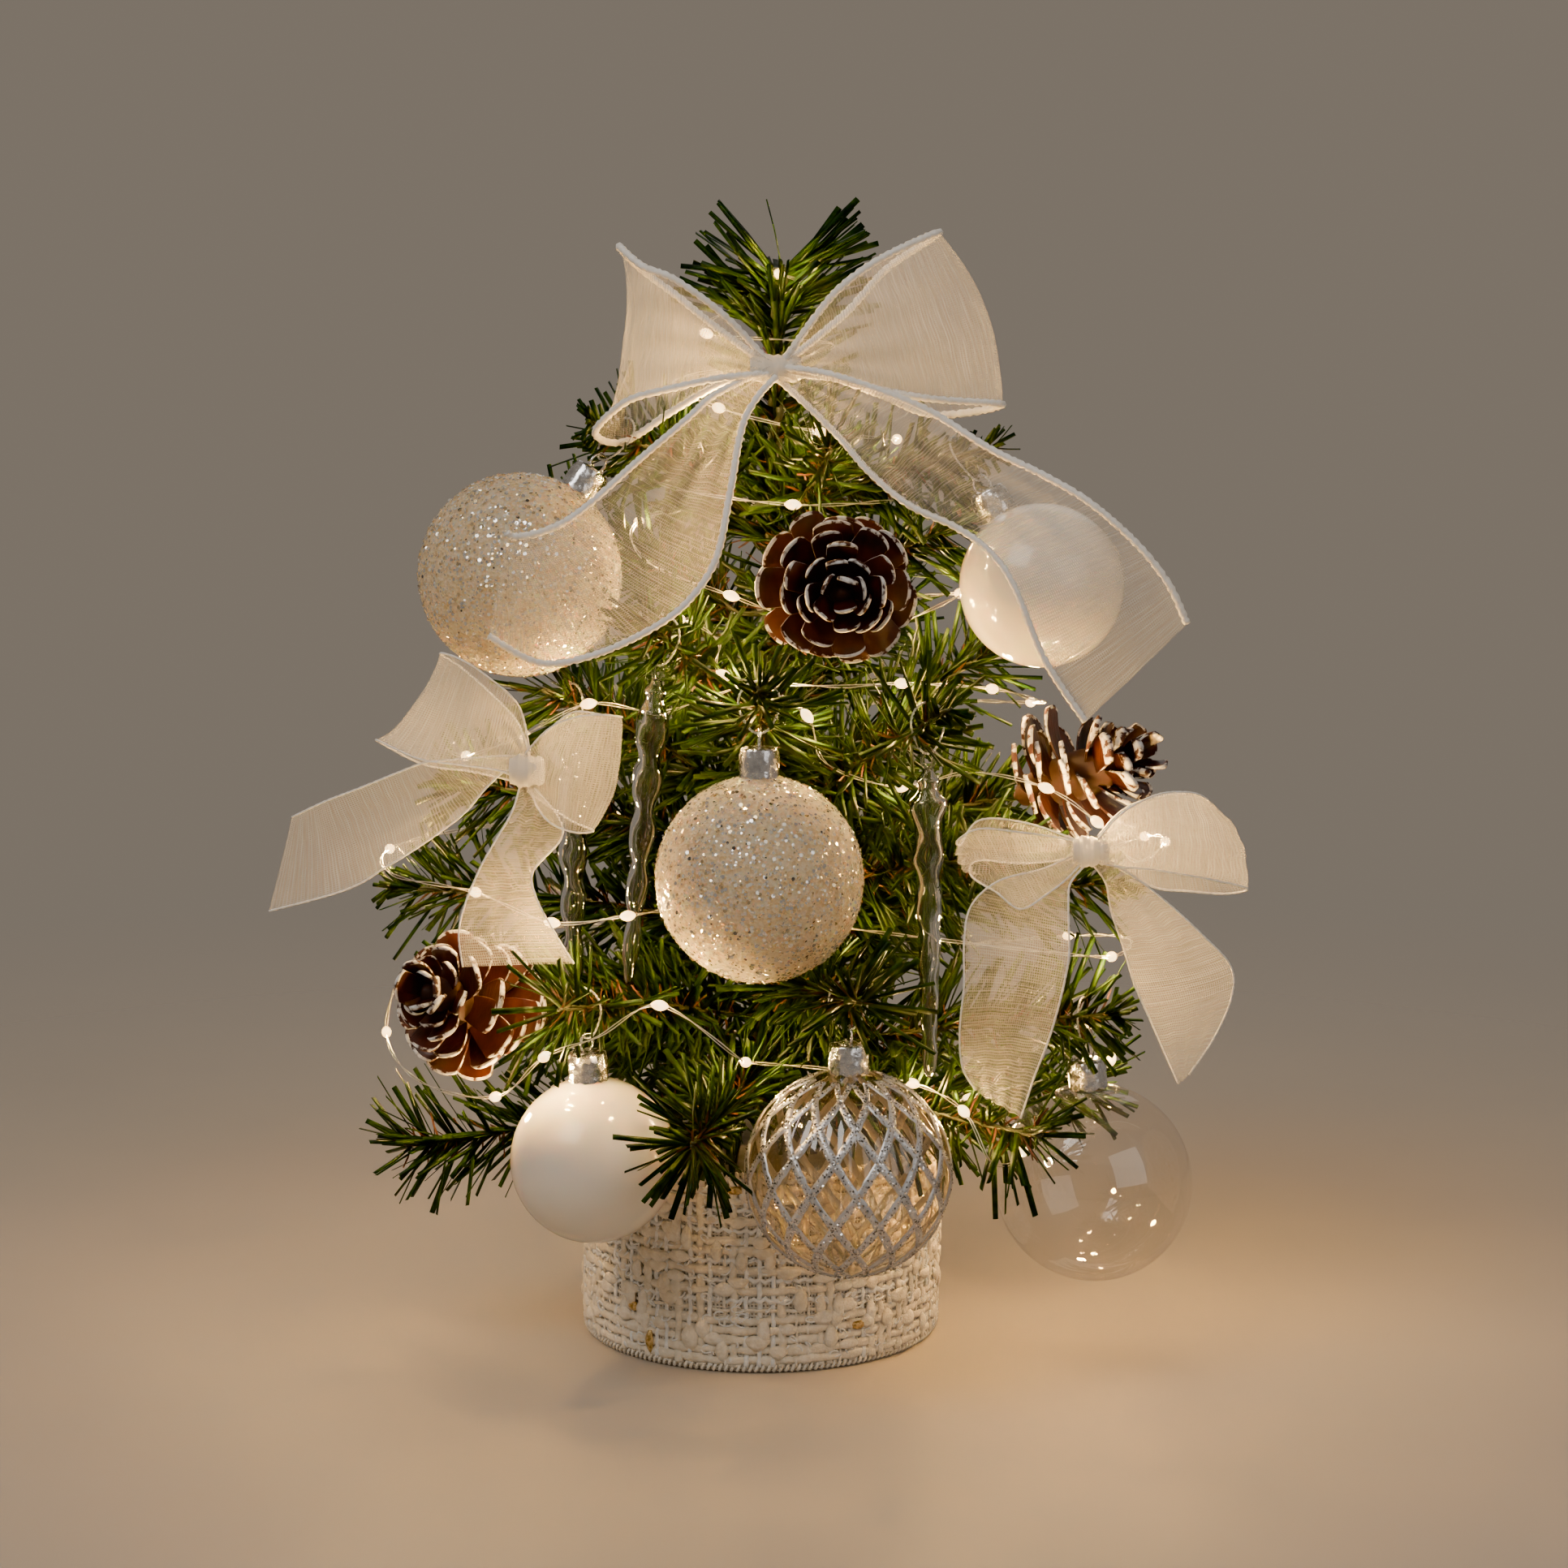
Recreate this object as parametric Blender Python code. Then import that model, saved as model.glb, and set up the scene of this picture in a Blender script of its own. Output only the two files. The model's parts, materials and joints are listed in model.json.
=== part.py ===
"""Artificial tabletop tree: fabric-covered base, wire trunk and branches, hung ornaments, bows, lights.

Metres, +Z up, origin at the centre of the underside of the base, front towards -Y.
Sizes are written in millimetres and turned into metres where the meshes are made.
"""
import math

import bmesh
import bpy
from mathutils import Matrix, Vector

MM = 0.001
UP = Vector((0.0, 0.0, 1.0))

# ---- driving dimensions, millimetres -------------------------------------------------------
GAP = 0.4                    # clearance between pieces that seat on each other
BASE_RADIUS = 56.5           # outside of the fabric
BASE_HEIGHT = 62.0
FABRIC = 1.6                 # fabric thickness
HEM_LIFT = 0.4               # the fabric's hem clears the surface that the base stands on
TUB_WALL = 2.2
TUB_FLOOR = 3.0
COVER_THICK = 1.6
COVER_DEPTH = 2.5            # the cover sits this far below the tub's rim
RIM_DROP = 2.0               # the tub's rim stays this far below the fabric's top
COVER_SPACE = 3.9            # room between the ballast and the cover
LEAD_SPACE = 3.1             # room for the leads between the battery tray and the ballast

TRUNK_RADIUS = 2.8
TRUNK_SOCKET = 5.0           # ballast left under the foot of the trunk
TRUNK_TOP = 338.0
TRUNK_LEAN = 6.5             # sideways shift of the leader's top

STEM_WIRE = 1.0              # bare wire where a branch passes through the trunk
STEM_CORE = 4.2              # wire with its dense inner needles
STEM_TIP = 2.6
EYE_GAP = 0.45

LARGE_BALL = 30.0            # outer radius of a large bauble
SMALL_BALL = 24.5
GLASS = 1.0
NECK_RADIUS = 4.9
CAP_SKIRT = 0.9              # thickness of a cap's side
CAP_HEIGHT = 8.6
CAP_WALL = 0.6
RING_RADIUS = 2.8
RING_WIRE = 0.5
EYE_WIRE = 0.6               # ring of an icicle
RING_SIDES = 10
THREAD = 0.45
HANG_DROP = 9.0              # branch centre to the low end of a hanger loop
LOOP_SLACK = 1.4             # room between a hanger loop and the branch it goes round

ICICLE_LENGTH = 92.0
ICICLE_RADIUS = 5.6
CONE_LENGTH = 50.0
CONE_RADIUS = 25.5

CELL_RADIUS = 7.05
CELL_LENGTH = 49.0
CELL_SPACE = 0.9             # between the two cells
NUB_RADIUS = 2.6             # raised end of a cell
NUB_HEIGHT = 1.2
BRIDGE_THICK = 0.6           # metal strip that joins the two cells' ends
BRIDGE_HEIGHT = 10.0
BRIDGE_MARGIN = 2.0
TRAY_WALL = 1.2
TRAY_SPACE = 2.1             # from the battery tray's back corners to the tub's wall
CONTACT_SPACE = 2.4
DOOR_THICK = 1.6
DOOR_LEDGE = 2.0             # each edge of the door keeps this far inside the tray's walls
SWITCH_Y = -24.0
SWITCH_TRAVEL = 4.0
SWITCH_HALF_LENGTH = 2.0
SWITCH_HALF_WIDTH = 1.5
SWITCH_RECESS = 0.6          # the slider stays above the surface that the base stands on
FLANGE_THICK = 1.4
FLANGE_MARGIN = 2.5          # the slider's flange laps the floor round its slot

RIBBON_THICK = 1.2
CORD_RADIUS = 0.65           # the pair of light wires
ROUND = 28                   # sides of the large round pieces
FINE = 12                    # sides of the small round pieces


# The places in the tree below are written for this size of base, and move with the present one.
DRAWN_RADIUS = 56.5
DRAWN_HEIGHT = 62.0
LIFT = BASE_HEIGHT - DRAWN_HEIGHT


# ---- materials ------------------------------------------------------------------------------
def material(name, colour, roughness, metallic=0.0):
    """A Principled material, made once for each name."""
    made = bpy.data.materials.get(name)
    if made:
        return made
    made = bpy.data.materials.new(name)
    made.use_nodes = True
    shader = made.node_tree.nodes["Principled BSDF"]
    shader.inputs["Base Color"].default_value = (*colour, 1.0)
    shader.inputs["Roughness"].default_value = roughness
    shader.inputs["Metallic"].default_value = metallic
    return made


TWEED = ("tweed", (0.80, 0.72, 0.60), 0.9)
POT = ("pot_plastic", (0.16, 0.16, 0.15), 0.5)
PLASTER = ("plaster", (0.62, 0.60, 0.56), 0.9)
CASE = ("case_plastic", (0.07, 0.07, 0.07), 0.4)
CELL = ("cell_jacket", (0.30, 0.32, 0.34), 0.35, 0.6)
SPRING = ("contact_steel", (0.72, 0.72, 0.70), 0.3, 1.0)
WIRE = ("trunk_wire", (0.16, 0.20, 0.09), 0.5, 0.3)
NEEDLES = ("needles", (0.06, 0.14, 0.03), 0.5)
GLITTER = ("glitter_glass", (0.88, 0.80, 0.66), 0.35)
OPAL = ("opal_glass", (0.90, 0.87, 0.80), 0.12)
CLEAR = ("clear_glass", (0.93, 0.93, 0.92), 0.03)
LATTICE = ("lattice_glass", (0.85, 0.80, 0.66), 0.08)
FOIL = ("silver_foil", (0.78, 0.79, 0.81), 0.25, 1.0)
SILVER_THREAD = ("silver_thread", (0.70, 0.71, 0.72), 0.35, 0.8)
ACRYLIC = ("clear_acrylic", (0.95, 0.93, 0.88), 0.05)
CONE = ("cone_scale", (0.13, 0.03, 0.02), 0.5)
ORGANZA = ("organza", (0.92, 0.86, 0.76), 0.5)
LIGHT_WIRE = ("light_wire", (0.75, 0.68, 0.52), 0.35, 0.7)


# ---- modelling helpers ----------------------------------------------------------------------
def place(name, mesh_data, finish, parent=None, at=(0, 0, 0)):
    """Put a mesh (sizes in metres) in the scene under its parent, with its own material."""
    node = bpy.data.objects.new(name, mesh_data)
    bpy.context.scene.collection.objects.link(node)
    mesh_data.materials.append(material(*finish))
    node.parent = parent
    node.location = Vector(at) * MM
    return node


def finish_mesh(name, shape, sharp_degrees=40.0):
    """Close off a bmesh: outward faces, metres, smooth shading with sharp edges kept."""
    bmesh.ops.recalc_face_normals(shape, faces=shape.faces[:])
    bmesh.ops.scale(shape, vec=(MM, MM, MM), verts=shape.verts[:])
    data = bpy.data.meshes.new(name)
    shape.to_mesh(data)
    shape.free()
    data.shade_smooth()
    data.set_sharp_from_angle(angle=math.radians(sharp_degrees))
    return data


def turned(name, outline, sides, closed=False):
    """A turned solid. The outline is (radius, height) points; a radius of 0 is a pole."""
    shape = bmesh.new()
    rings = []
    for radius, height in outline:
        if radius == 0:
            rings.append([shape.verts.new((0, 0, height))])
            continue
        turns = [2 * math.pi * k / sides for k in range(sides)]
        rings.append([shape.verts.new((radius * math.cos(a), radius * math.sin(a), height)) for a in turns])
    pairs = list(zip(rings, rings[1:]))
    if closed:
        pairs.append((rings[-1], rings[0]))
    for low, high in pairs:
        for k in range(sides):
            corners = [low[k % len(low)], low[(k + 1) % len(low)]]
            corners += [high[(k + 1) % len(high)], high[k % len(high)]]
            shape.faces.new(list(dict.fromkeys(corners)))
    return finish_mesh(name, shape)


def box(name, low, high):
    """A rectangular block between two corners."""
    shape = bmesh.new()
    bmesh.ops.create_cube(shape, size=1.0)
    middle = (Vector(low) + Vector(high)) / 2
    bmesh.ops.scale(shape, vec=Vector(high) - Vector(low), verts=shape.verts[:])
    bmesh.ops.translate(shape, vec=middle, verts=shape.verts[:])
    return finish_mesh(name, shape, 20.0)


def lofted(name, sections):
    """A closed solid through a list of sections, each a ring of the same number of points."""
    shape = bmesh.new()
    rings = [[shape.verts.new(point) for point in section] for section in sections]
    count = len(rings[0])
    for low, high in zip(rings, rings[1:]):
        for k in range(count):
            shape.faces.new((low[k], low[(k + 1) % count], high[(k + 1) % count], high[k]))
    shape.faces.new(rings[0])
    shape.faces.new(rings[-1])
    bmesh.ops.triangulate(shape, faces=shape.faces[:])
    return finish_mesh(name, shape)


def tube(name, points, radii, sides, cyclic=False):
    """A mesh swept along points: a ring of the given radius, square to the path, at each one."""
    points = [Vector(p) for p in points]
    count = len(points)
    shape = bmesh.new()
    rings = []
    lean = None
    for k, point in enumerate(points):
        before = points[k - 1] if cyclic else points[max(k - 1, 0)]
        after = points[(k + 1) % count] if cyclic else points[min(k + 1, count - 1)]
        run = (after - before).normalized()
        if lean is None:
            lean = run.orthogonal().normalized()
        lean = (lean - run * lean.dot(run)).normalized()
        other = run.cross(lean)
        ring = []
        for j in range(sides):
            a = 2 * math.pi * j / sides
            ring.append(shape.verts.new(point + (lean * math.cos(a) + other * math.sin(a)) * radii[k]))
        rings.append(ring)
    pairs = list(zip(rings, rings[1:]))
    if cyclic:
        pairs.append((rings[-1], rings[0]))
    for low, high in pairs:
        for j in range(sides):
            shape.faces.new((low[j], low[(j + 1) % sides], high[(j + 1) % sides], high[j]))
    if not cyclic:
        shape.faces.new(rings[0])
        shape.faces.new(rings[-1])
    return finish_mesh(name, shape, 60.0)


def rod(name, points, radii, finish, parent=None, at=(0, 0, 0), cyclic=False, sides=6):
    """A round rod of varying radius along points."""
    return place(name, tube(name, points, radii, sides, cyclic), finish, parent, at)


def cord(name, points, radius, finish):
    """A round cord along points, as a bevelled curve with filled ends."""
    data = bpy.data.curves.new(name, "CURVE")
    data.dimensions = "3D"
    data.render_resolution_u = 0
    data.bevel_depth = radius * MM
    data.bevel_resolution = 2
    data.use_fill_caps = True
    spline = data.splines.new("POLY")
    spline.points.add(len(points) - 1)
    for point, place_at in zip(spline.points, points):
        point.co = (*(Vector(place_at) * MM), 1.0)
    node = bpy.data.objects.new(name, data)
    bpy.context.scene.collection.objects.link(node)
    data.materials.append(material(*finish))
    return node


def empty(name, at, turn=None, parent=None):
    """A joint's centre: an empty at a place in millimetres, with an optional rotation matrix."""
    node = bpy.data.objects.new(name, None)
    bpy.context.scene.collection.objects.link(node)
    node.parent = parent
    node.location = Vector(at) * MM
    if turn:
        node.rotation_euler = turn.to_euler()
    return node


def cut(target, cutter):
    """Take a cutter out of a target, and keep the cutter out of the model."""
    boolean = target.modifiers.new(cutter.name, "BOOLEAN")
    boolean.operation = "DIFFERENCE"
    boolean.object = cutter
    hide(cutter)


def join(target, other):
    """Unite another solid with the target, and keep the other one out of the model."""
    boolean = target.modifiers.new(other.name, "BOOLEAN")
    boolean.operation = "UNION"
    boolean.object = other
    hide(other)


def hide(node):
    """Mark a guide: drawn as wire, never rendered."""
    node.hide_render = True
    node.display_type = "WIRE"


# ---- base -----------------------------------------------------------------------------------
TUB_RADIUS = BASE_RADIUS - FABRIC - GAP
TUB_TOP = BASE_HEIGHT - RIM_DROP
BORE = TUB_RADIUS - TUB_WALL
COVER_LOW = TUB_TOP - COVER_DEPTH - COVER_THICK
CELL_PITCH = 2 * CELL_RADIUS + CELL_SPACE
TRAY_LENGTH = CELL_LENGTH + 2 * CONTACT_SPACE + 2 * TRAY_WALL
TRAY_WIDTH = 2 * CELL_PITCH + 2 * TRAY_WALL + 2 * GAP
TRAY_TOP = TUB_FLOOR + 2 * CELL_RADIUS + TRAY_WALL + 4 * GAP    # gaps: floor, cells, and room above
TRAY_Y = math.sqrt((BORE - TRAY_SPACE) ** 2 - (TRAY_LENGTH / 2) ** 2) - TRAY_WIDTH / 2
BALLAST_LOW = TRAY_TOP + LEAD_SPACE
BALLAST_HIGH = COVER_LOW - COVER_SPACE
TRUNK_FOOT = BALLAST_LOW + TRUNK_SOCKET
DOOR_LENGTH = TRAY_LENGTH - 2 * TRAY_WALL - 2 * DOOR_LEDGE
DOOR_WIDTH = TRAY_WIDTH - 2 * TRAY_WALL - 2 * DOOR_LEDGE
LEAD_HOLE = (16.0, -12.0)    # the light string leaves the base here
LEAD_HOLE_RADIUS = 2.0


def block(name, low, high, finish=CASE):
    return place(name, box(name, low, high), finish)


def lead_cutter(name):
    outline = [(0, 0), (LEAD_HOLE_RADIUS, 0), (LEAD_HOLE_RADIUS, BASE_HEIGHT), (0, BASE_HEIGHT)]
    return place(name, turned(name, outline, FINE), POT, at=(*LEAD_HOLE, TRAY_TOP))


def make_tub():
    outline = [(0, 0), (TUB_RADIUS, 0), (TUB_RADIUS, TUB_TOP), (BORE, TUB_TOP), (BORE, TUB_FLOOR), (0, TUB_FLOOR)]
    tub = place("base_tub", turned("base_tub", outline, ROUND), POT)
    half_x = DOOR_LENGTH / 2 + GAP
    half_y = DOOR_WIDTH / 2 + GAP
    hinge_side = half_y + DOOR_THICK / 2
    low = (-half_x, TRAY_Y - half_y, -1)
    cut(tub, block("door_opening", low, (half_x, TRAY_Y + hinge_side, TUB_FLOOR + 1)))
    near = -SWITCH_HALF_LENGTH - GAP
    far = SWITCH_HALF_LENGTH + SWITCH_TRAVEL + GAP
    half_slot = SWITCH_HALF_WIDTH + GAP
    low = (near, SWITCH_Y - half_slot, -1)
    cut(tub, block("switch_slot", low, (far, SWITCH_Y + half_slot, TUB_FLOOR + 1)))


def make_sleeve():
    inner = BASE_RADIUS - FABRIC
    soft = FABRIC * 0.5
    outline = [(inner, HEM_LIFT), (BASE_RADIUS - soft, HEM_LIFT), (BASE_RADIUS, HEM_LIFT + 2 * soft)]
    outline += [(BASE_RADIUS, BASE_HEIGHT - 2 * soft), (BASE_RADIUS - soft, BASE_HEIGHT)]
    outline += [(inner, BASE_HEIGHT)]
    place("fabric_sleeve", turned("fabric_sleeve", outline, ROUND, closed=True), TWEED)


def make_cover_and_ballast():
    low = COVER_LOW
    hole = TRUNK_RADIUS + GAP
    outline = [(hole, low), (BORE - GAP, low), (BORE - GAP, low + COVER_THICK), (hole, low + COVER_THICK)]
    cover = place("top_cover", turned("top_cover", outline, ROUND, closed=True), POT)
    cut(cover, lead_cutter("cover_lead_hole"))
    edge = BORE - GAP
    socket = TRUNK_FOOT - GAP
    outline = [(0, BALLAST_LOW), (edge, BALLAST_LOW), (edge, BALLAST_HIGH), (hole, BALLAST_HIGH)]
    outline += [(hole, socket), (0, socket)]
    ballast = place("ballast", turned("ballast", outline, ROUND), PLASTER)
    cut(ballast, lead_cutter("ballast_lead_hole"))


def make_battery_case():
    half_x = TRAY_LENGTH / 2
    half_y = TRAY_WIDTH / 2
    floor = TUB_FLOOR + GAP
    low = (-half_x, TRAY_Y - half_y, floor)
    tray = block("battery_tray", low, (half_x, TRAY_Y + half_y, TRAY_TOP))
    low = (TRAY_WALL - half_x, TRAY_Y - half_y + TRAY_WALL, floor - 1)
    hollow = block("tray_hollow", low, (half_x - TRAY_WALL, TRAY_Y + half_y - TRAY_WALL, TRAY_TOP - TRAY_WALL))
    cut(tray, hollow)
    half_l = DOOR_LENGTH / 2
    hinge = empty("battery_door_hinge", (0, TRAY_Y + DOOR_WIDTH / 2, DOOR_THICK / 2 + GAP))
    low = (-half_l, -DOOR_WIDTH, -DOOR_THICK / 2)
    data = box("battery_door", low, (half_l, 0, DOOR_THICK / 2))
    place("battery_door", data, CASE, parent=hinge)
    for k, side in enumerate((-1, 1)):
        name = f"battery_cell_{k + 1}"
        nub = CELL_LENGTH / 2
        outline = [(0, -nub), (CELL_RADIUS, -nub), (CELL_RADIUS, nub - NUB_HEIGHT)]
        outline += [(NUB_RADIUS, nub - NUB_HEIGHT), (NUB_RADIUS, nub), (0, nub)]
        cell = place(name, turned(name, outline, 20), CELL)
        cell.location = Vector((0, TRAY_Y + side * CELL_PITCH / 2, floor + CELL_RADIUS + GAP)) * MM
        cell.rotation_euler = (0, side * math.pi / 2, 0)
    inner = half_x - TRAY_WALL - GAP
    half_y = CELL_PITCH - BRIDGE_MARGIN
    low = (inner - BRIDGE_THICK, TRAY_Y - half_y, floor + BRIDGE_MARGIN)
    block("contact_bridge", low, (inner, TRAY_Y + half_y, low[2] + BRIDGE_HEIGHT), SPRING)


def make_switch():
    rest = empty("switch_slide", (0, SWITCH_Y, 0))
    top = TUB_FLOOR + GAP
    low = (-SWITCH_HALF_LENGTH, -SWITCH_HALF_WIDTH, SWITCH_RECESS)
    data = box("switch_slider", low, (SWITCH_HALF_LENGTH, SWITCH_HALF_WIDTH, top + SWITCH_RECESS))
    knob = place("switch_slider", data, CASE, parent=rest)
    half_x = SWITCH_HALF_LENGTH + FLANGE_MARGIN
    half_y = SWITCH_HALF_WIDTH + FLANGE_MARGIN
    flange = block("switch_flange", (-half_x, -half_y, top), (half_x, half_y, top + FLANGE_THICK))
    flange.parent = rest
    join(knob, flange)


# ---- trunk and branches ---------------------------------------------------------------------
# Each branch is one length of needle garland pushed through the twist of the trunk at a height,
# with both ends bent outwards: (height at the trunk, end of the wire one way, and the other way).
BRANCHES = [
    (68, (-98, -22, 64), (97, 30, 70)),
    (74, (74, -70, 79), (-70, 70, 80)),
    (81, (-17, -96, 83), (18, 98, 80)),
    (88, (98, -42, 107), (-92, 46, 100)),
    (100, (-51, -72, 116), (50, 80, 118)),
    (109, (26, -86, 121.4), (-28, 92, 124)),
    (118, (-72, -34, 107), (74, 52, 150)),
    (128, (103, 5, 140), (-106, 8, 138)),
    (138, (66, -58, 158), (-62, 62, 160)),
    (150, (72, -24, 171), (-88, 4, 172)),
    (160, (49, -72, 200), (-56, 60, 192)),
    (168, (0.3, -82, 207), (4, 86, 198)),
    (170, (-56, -38, 202), (70, 26, 210)),
    (190, (-28.5, -60, 224.5), (40, 62, 220)),
    (212, (21, -41, 237), (-30, 60, 236)),
    (226, (57, 4, 252), (-58, 8, 250)),
    (246, (18, -39, 272), (-20, 42, 272)),
    (258, (-42, -35.5, 282), (61, -33, 276)),
]
TRUNK_STEPS = (130, 200, 262, 300, 322)
TIP_REACH = 12.0             # the needles run on past the end of the wire
WIRE_REACH = 4.0             # bare wire on each side of the trunk's middle
CORE_START = 9.0             # the needles begin this far out
BEND_RISE = 2.0
SHORT_TIPS = (7, 10, 15)     # the first end of these holds a pinecone


def placed(point):
    """A place in the tree, written for the base's drawn size, where the base's present size puts it."""
    x, y, z = point
    return Vector((x * BASE_RADIUS / DRAWN_RADIUS, y * BASE_RADIUS / DRAWN_RADIUS, z + LIFT))


def trunk_at(height):
    """Centre of the trunk at a height: straight up, leaning a little near the top."""
    rise = max(0.0, (height - BASE_HEIGHT) / (TRUNK_TOP + LIFT - BASE_HEIGHT))
    return Vector((TRUNK_LEAN * rise ** 1.5, 0, height))


def make_trunk():
    heights = [TRUNK_FOOT, BASE_HEIGHT] + [h + LIFT for h in (*TRUNK_STEPS, TRUNK_TOP)]
    radii = [TRUNK_RADIUS] * 4 + [TRUNK_RADIUS, TRUNK_RADIUS + 1.2, STEM_CORE, STEM_TIP]
    trunk = rod("trunk", [trunk_at(h) for h in heights], radii, WIRE, sides=8)
    for k, (height, one, other) in enumerate(BRANCHES):
        across = eye_direction(one, other)
        centre = trunk_at(height + LIFT)
        ends = [centre - across * 2 * TRUNK_RADIUS, centre + across * 2 * TRUNK_RADIUS]
        cut(trunk, rod(f"trunk_eye_{k + 1}", ends, [STEM_WIRE + EYE_GAP] * 2, WIRE, sides=6))


def eye_direction(one, other):
    across = Vector(other) - Vector(one)
    across.z = 0
    return across.normalized()


def arm(start, end, lead):
    """One side of a branch: level where it leaves the trunk, a soft bend, then its end and tip."""
    bend = start.lerp(end, 0.5) + lead * WIRE_REACH + UP * BEND_RISE
    out = (end - bend).normalized()
    return [start + lead * WIRE_REACH, start + lead * CORE_START, bend, end, end + out * TIP_REACH]


def make_branch(number, height, one, other):
    across = eye_direction(one, other)
    centre = trunk_at(height + LIFT)
    points = arm(centre, placed(one), -across)[::-1] + arm(centre, placed(other), across)
    side = [STEM_WIRE, STEM_WIRE, STEM_CORE, STEM_CORE, STEM_TIP]
    if number in SHORT_TIPS:
        points = points[1:]
        radii = side[:-1][::-1] + side
    else:
        radii = side[::-1] + side
    rod(f"branch_{number:02d}", points, radii, NEEDLES)


# ---- baubles and icicles --------------------------------------------------------------------
CAP_RADIUS = NECK_RADIUS + GAP + CAP_SKIRT
# name: (branch number, which end, sideways and outward lean of the hanging line, radius, finish)
BAUBLES = {
    "bauble_glitter_front": (12, 0, (0, 0), LARGE_BALL, GLITTER),
    "bauble_lattice": (6, 0, (0, 0), LARGE_BALL, LATTICE),
    "bauble_clear": (4, 0, (0.07, 0), LARGE_BALL, CLEAR),
    "bauble_white_low": (5, 0, (0.05, 0), SMALL_BALL, OPAL),
    "bauble_glitter_left": (18, 0, (-0.70, -0.25), LARGE_BALL, GLITTER),
    "bauble_white_right": (18, 1, (0.60, -0.22), SMALL_BALL, OPAL),
}
# name: (branch number, which end, lean in X and Y for each unit of drop)
ICICLES = {
    "icicle_left": (14, 0, (-0.10, 0.0)),
    "icicle_right": (11, 0, (0.01, -0.03)),
    "icicle_inner": (13, 0, (0.0, -0.10)),
}


def hook_on(number, side):
    """Where a hanger sits: the end of the wire on one side of a branch."""
    return placed(BRANCHES[number - 1][1 + side])


def hang_frame(hook, lean):
    """Rotation of a hung piece: its own -Z hangs down, its own +Y points away from the trunk."""
    down = Vector((lean[0], lean[1], -1.0)).normalized()
    out = Vector((hook.x, hook.y, 0)).normalized()
    side = out.cross(-down).normalized()
    out = (-down).cross(side)
    return Matrix((side, out, -down)).transposed()


def make_hanger(name, parent):
    """A thread loop round the branch, long enough for the ring below it."""
    wide = STEM_CORE + THREAD + LOOP_SLACK
    low = -HANG_DROP
    points = [(wide * math.sin(a), 0, wide * math.cos(a)) for a in (-1.7, -0.85, 0.0, 0.85, 1.7)]
    points += [(wide * 0.55, 0, low * 0.78), (0, 0, low), (-wide * 0.55, 0, low * 0.78)]
    rod(name, points, [THREAD] * len(points), SILVER_THREAD, parent=parent, cyclic=True, sides=5)


def ring_rod(name, wire, finish, parent):
    """The upright ring that hangs in a thread loop."""
    turns = [2 * math.pi * k / RING_SIDES for k in range(RING_SIDES)]
    points = [(0, RING_RADIUS * math.sin(a), RING_RADIUS * math.cos(a) - RING_DROP) for a in turns]
    return rod(name, points, [wire] * RING_SIDES, finish, parent=parent, cyclic=True, sides=5)


RING_DROP = RING_RADIUS - THREAD - RING_WIRE - GAP    # ring centre below the loop's low end


def make_bauble(name, number, side, lean, radius, finish):
    """Ball, cap with its ring, and hanger, about the hook point on the branch."""
    hook = hook_on(number, side)
    swing = empty(name + "_swing", hook, hang_frame(hook, lean))
    make_hanger(name.replace("bauble", "hanger"), swing)
    ring = empty(name + "_ring", (0, 0, -HANG_DROP), parent=swing)
    cap_top = -RING_DROP - RING_RADIUS + RING_WIRE
    cap_low = cap_top - CAP_HEIGHT
    centre = cap_low - math.sqrt(radius ** 2 - CAP_RADIUS ** 2) - GAP
    start = math.asin(NECK_RADIUS / radius)
    steps = 7
    angles = [math.pi - (math.pi - start) * k / steps for k in range(steps + 1)]
    outer = [(radius * math.sin(a), radius * math.cos(a)) for a in angles]
    inner_radius = radius - GLASS
    neck_inner = NECK_RADIUS - GLASS
    start = math.asin(neck_inner / inner_radius)
    angles = [start + (math.pi - start) * k / steps for k in range(steps + 1)]
    inner = [(inner_radius * math.sin(a), inner_radius * math.cos(a)) for a in angles]
    outer[0] = (0, -radius)
    inner[-1] = (0, -inner_radius)
    neck_top = cap_top - CAP_WALL - GAP - centre
    outline = outer + [(NECK_RADIUS, neck_top), (neck_inner, neck_top)] + inner
    place(name, turned(name, outline, 16), finish, parent=ring, at=(0, 0, centre))
    wall = NECK_RADIUS + GAP
    shoulder = CAP_RADIUS * 0.82
    outline = [(0, cap_top), (shoulder, cap_top), (CAP_RADIUS, cap_top - 1.6), (CAP_RADIUS, cap_low)]
    outline += [(wall, cap_low), (wall, cap_top - CAP_WALL), (0, cap_top - CAP_WALL)]
    cap_name = name.replace("bauble", "cap")
    cap = place(cap_name, turned(cap_name, outline, 14), FOIL, parent=ring)
    join(cap, ring_rod(cap_name + "_ring", RING_WIRE, FOIL, ring))


def make_icicle(name, number, side, lean):
    """A twisted icicle: its eye, a neck, then a body whose girth swells and tapers to a point."""
    hook = hook_on(number, side)
    swing = empty(name + "_swing", hook, hang_frame(hook, lean))
    make_hanger(name.replace("icicle", "icicle_hanger"), swing)
    eye = empty(name + "_eye", (0, 0, -HANG_DROP), parent=swing)
    top = -RING_DROP - RING_RADIUS + 0.2
    stations = 12
    heights = [top - ICICLE_LENGTH * k / stations for k in range(stations + 1)]
    radii = [ICICLE_RADIUS * girth(k / stations) for k in range(stations + 1)]
    body = rod(name, [(0, 0, h) for h in heights], radii, ACRYLIC, parent=eye, sides=8)
    join(body, ring_rod(name + "_loop", EYE_WIRE, ACRYLIC, eye))


def girth(share):
    """Share of the full radius at a share of the length: slim neck, full shoulder, slim tip."""
    neck = 0.35 + 0.65 * min(1.0, share / 0.12)
    return neck * (1.0 - 0.72 * share) + 0.04 * math.cos(share * 40)


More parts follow.
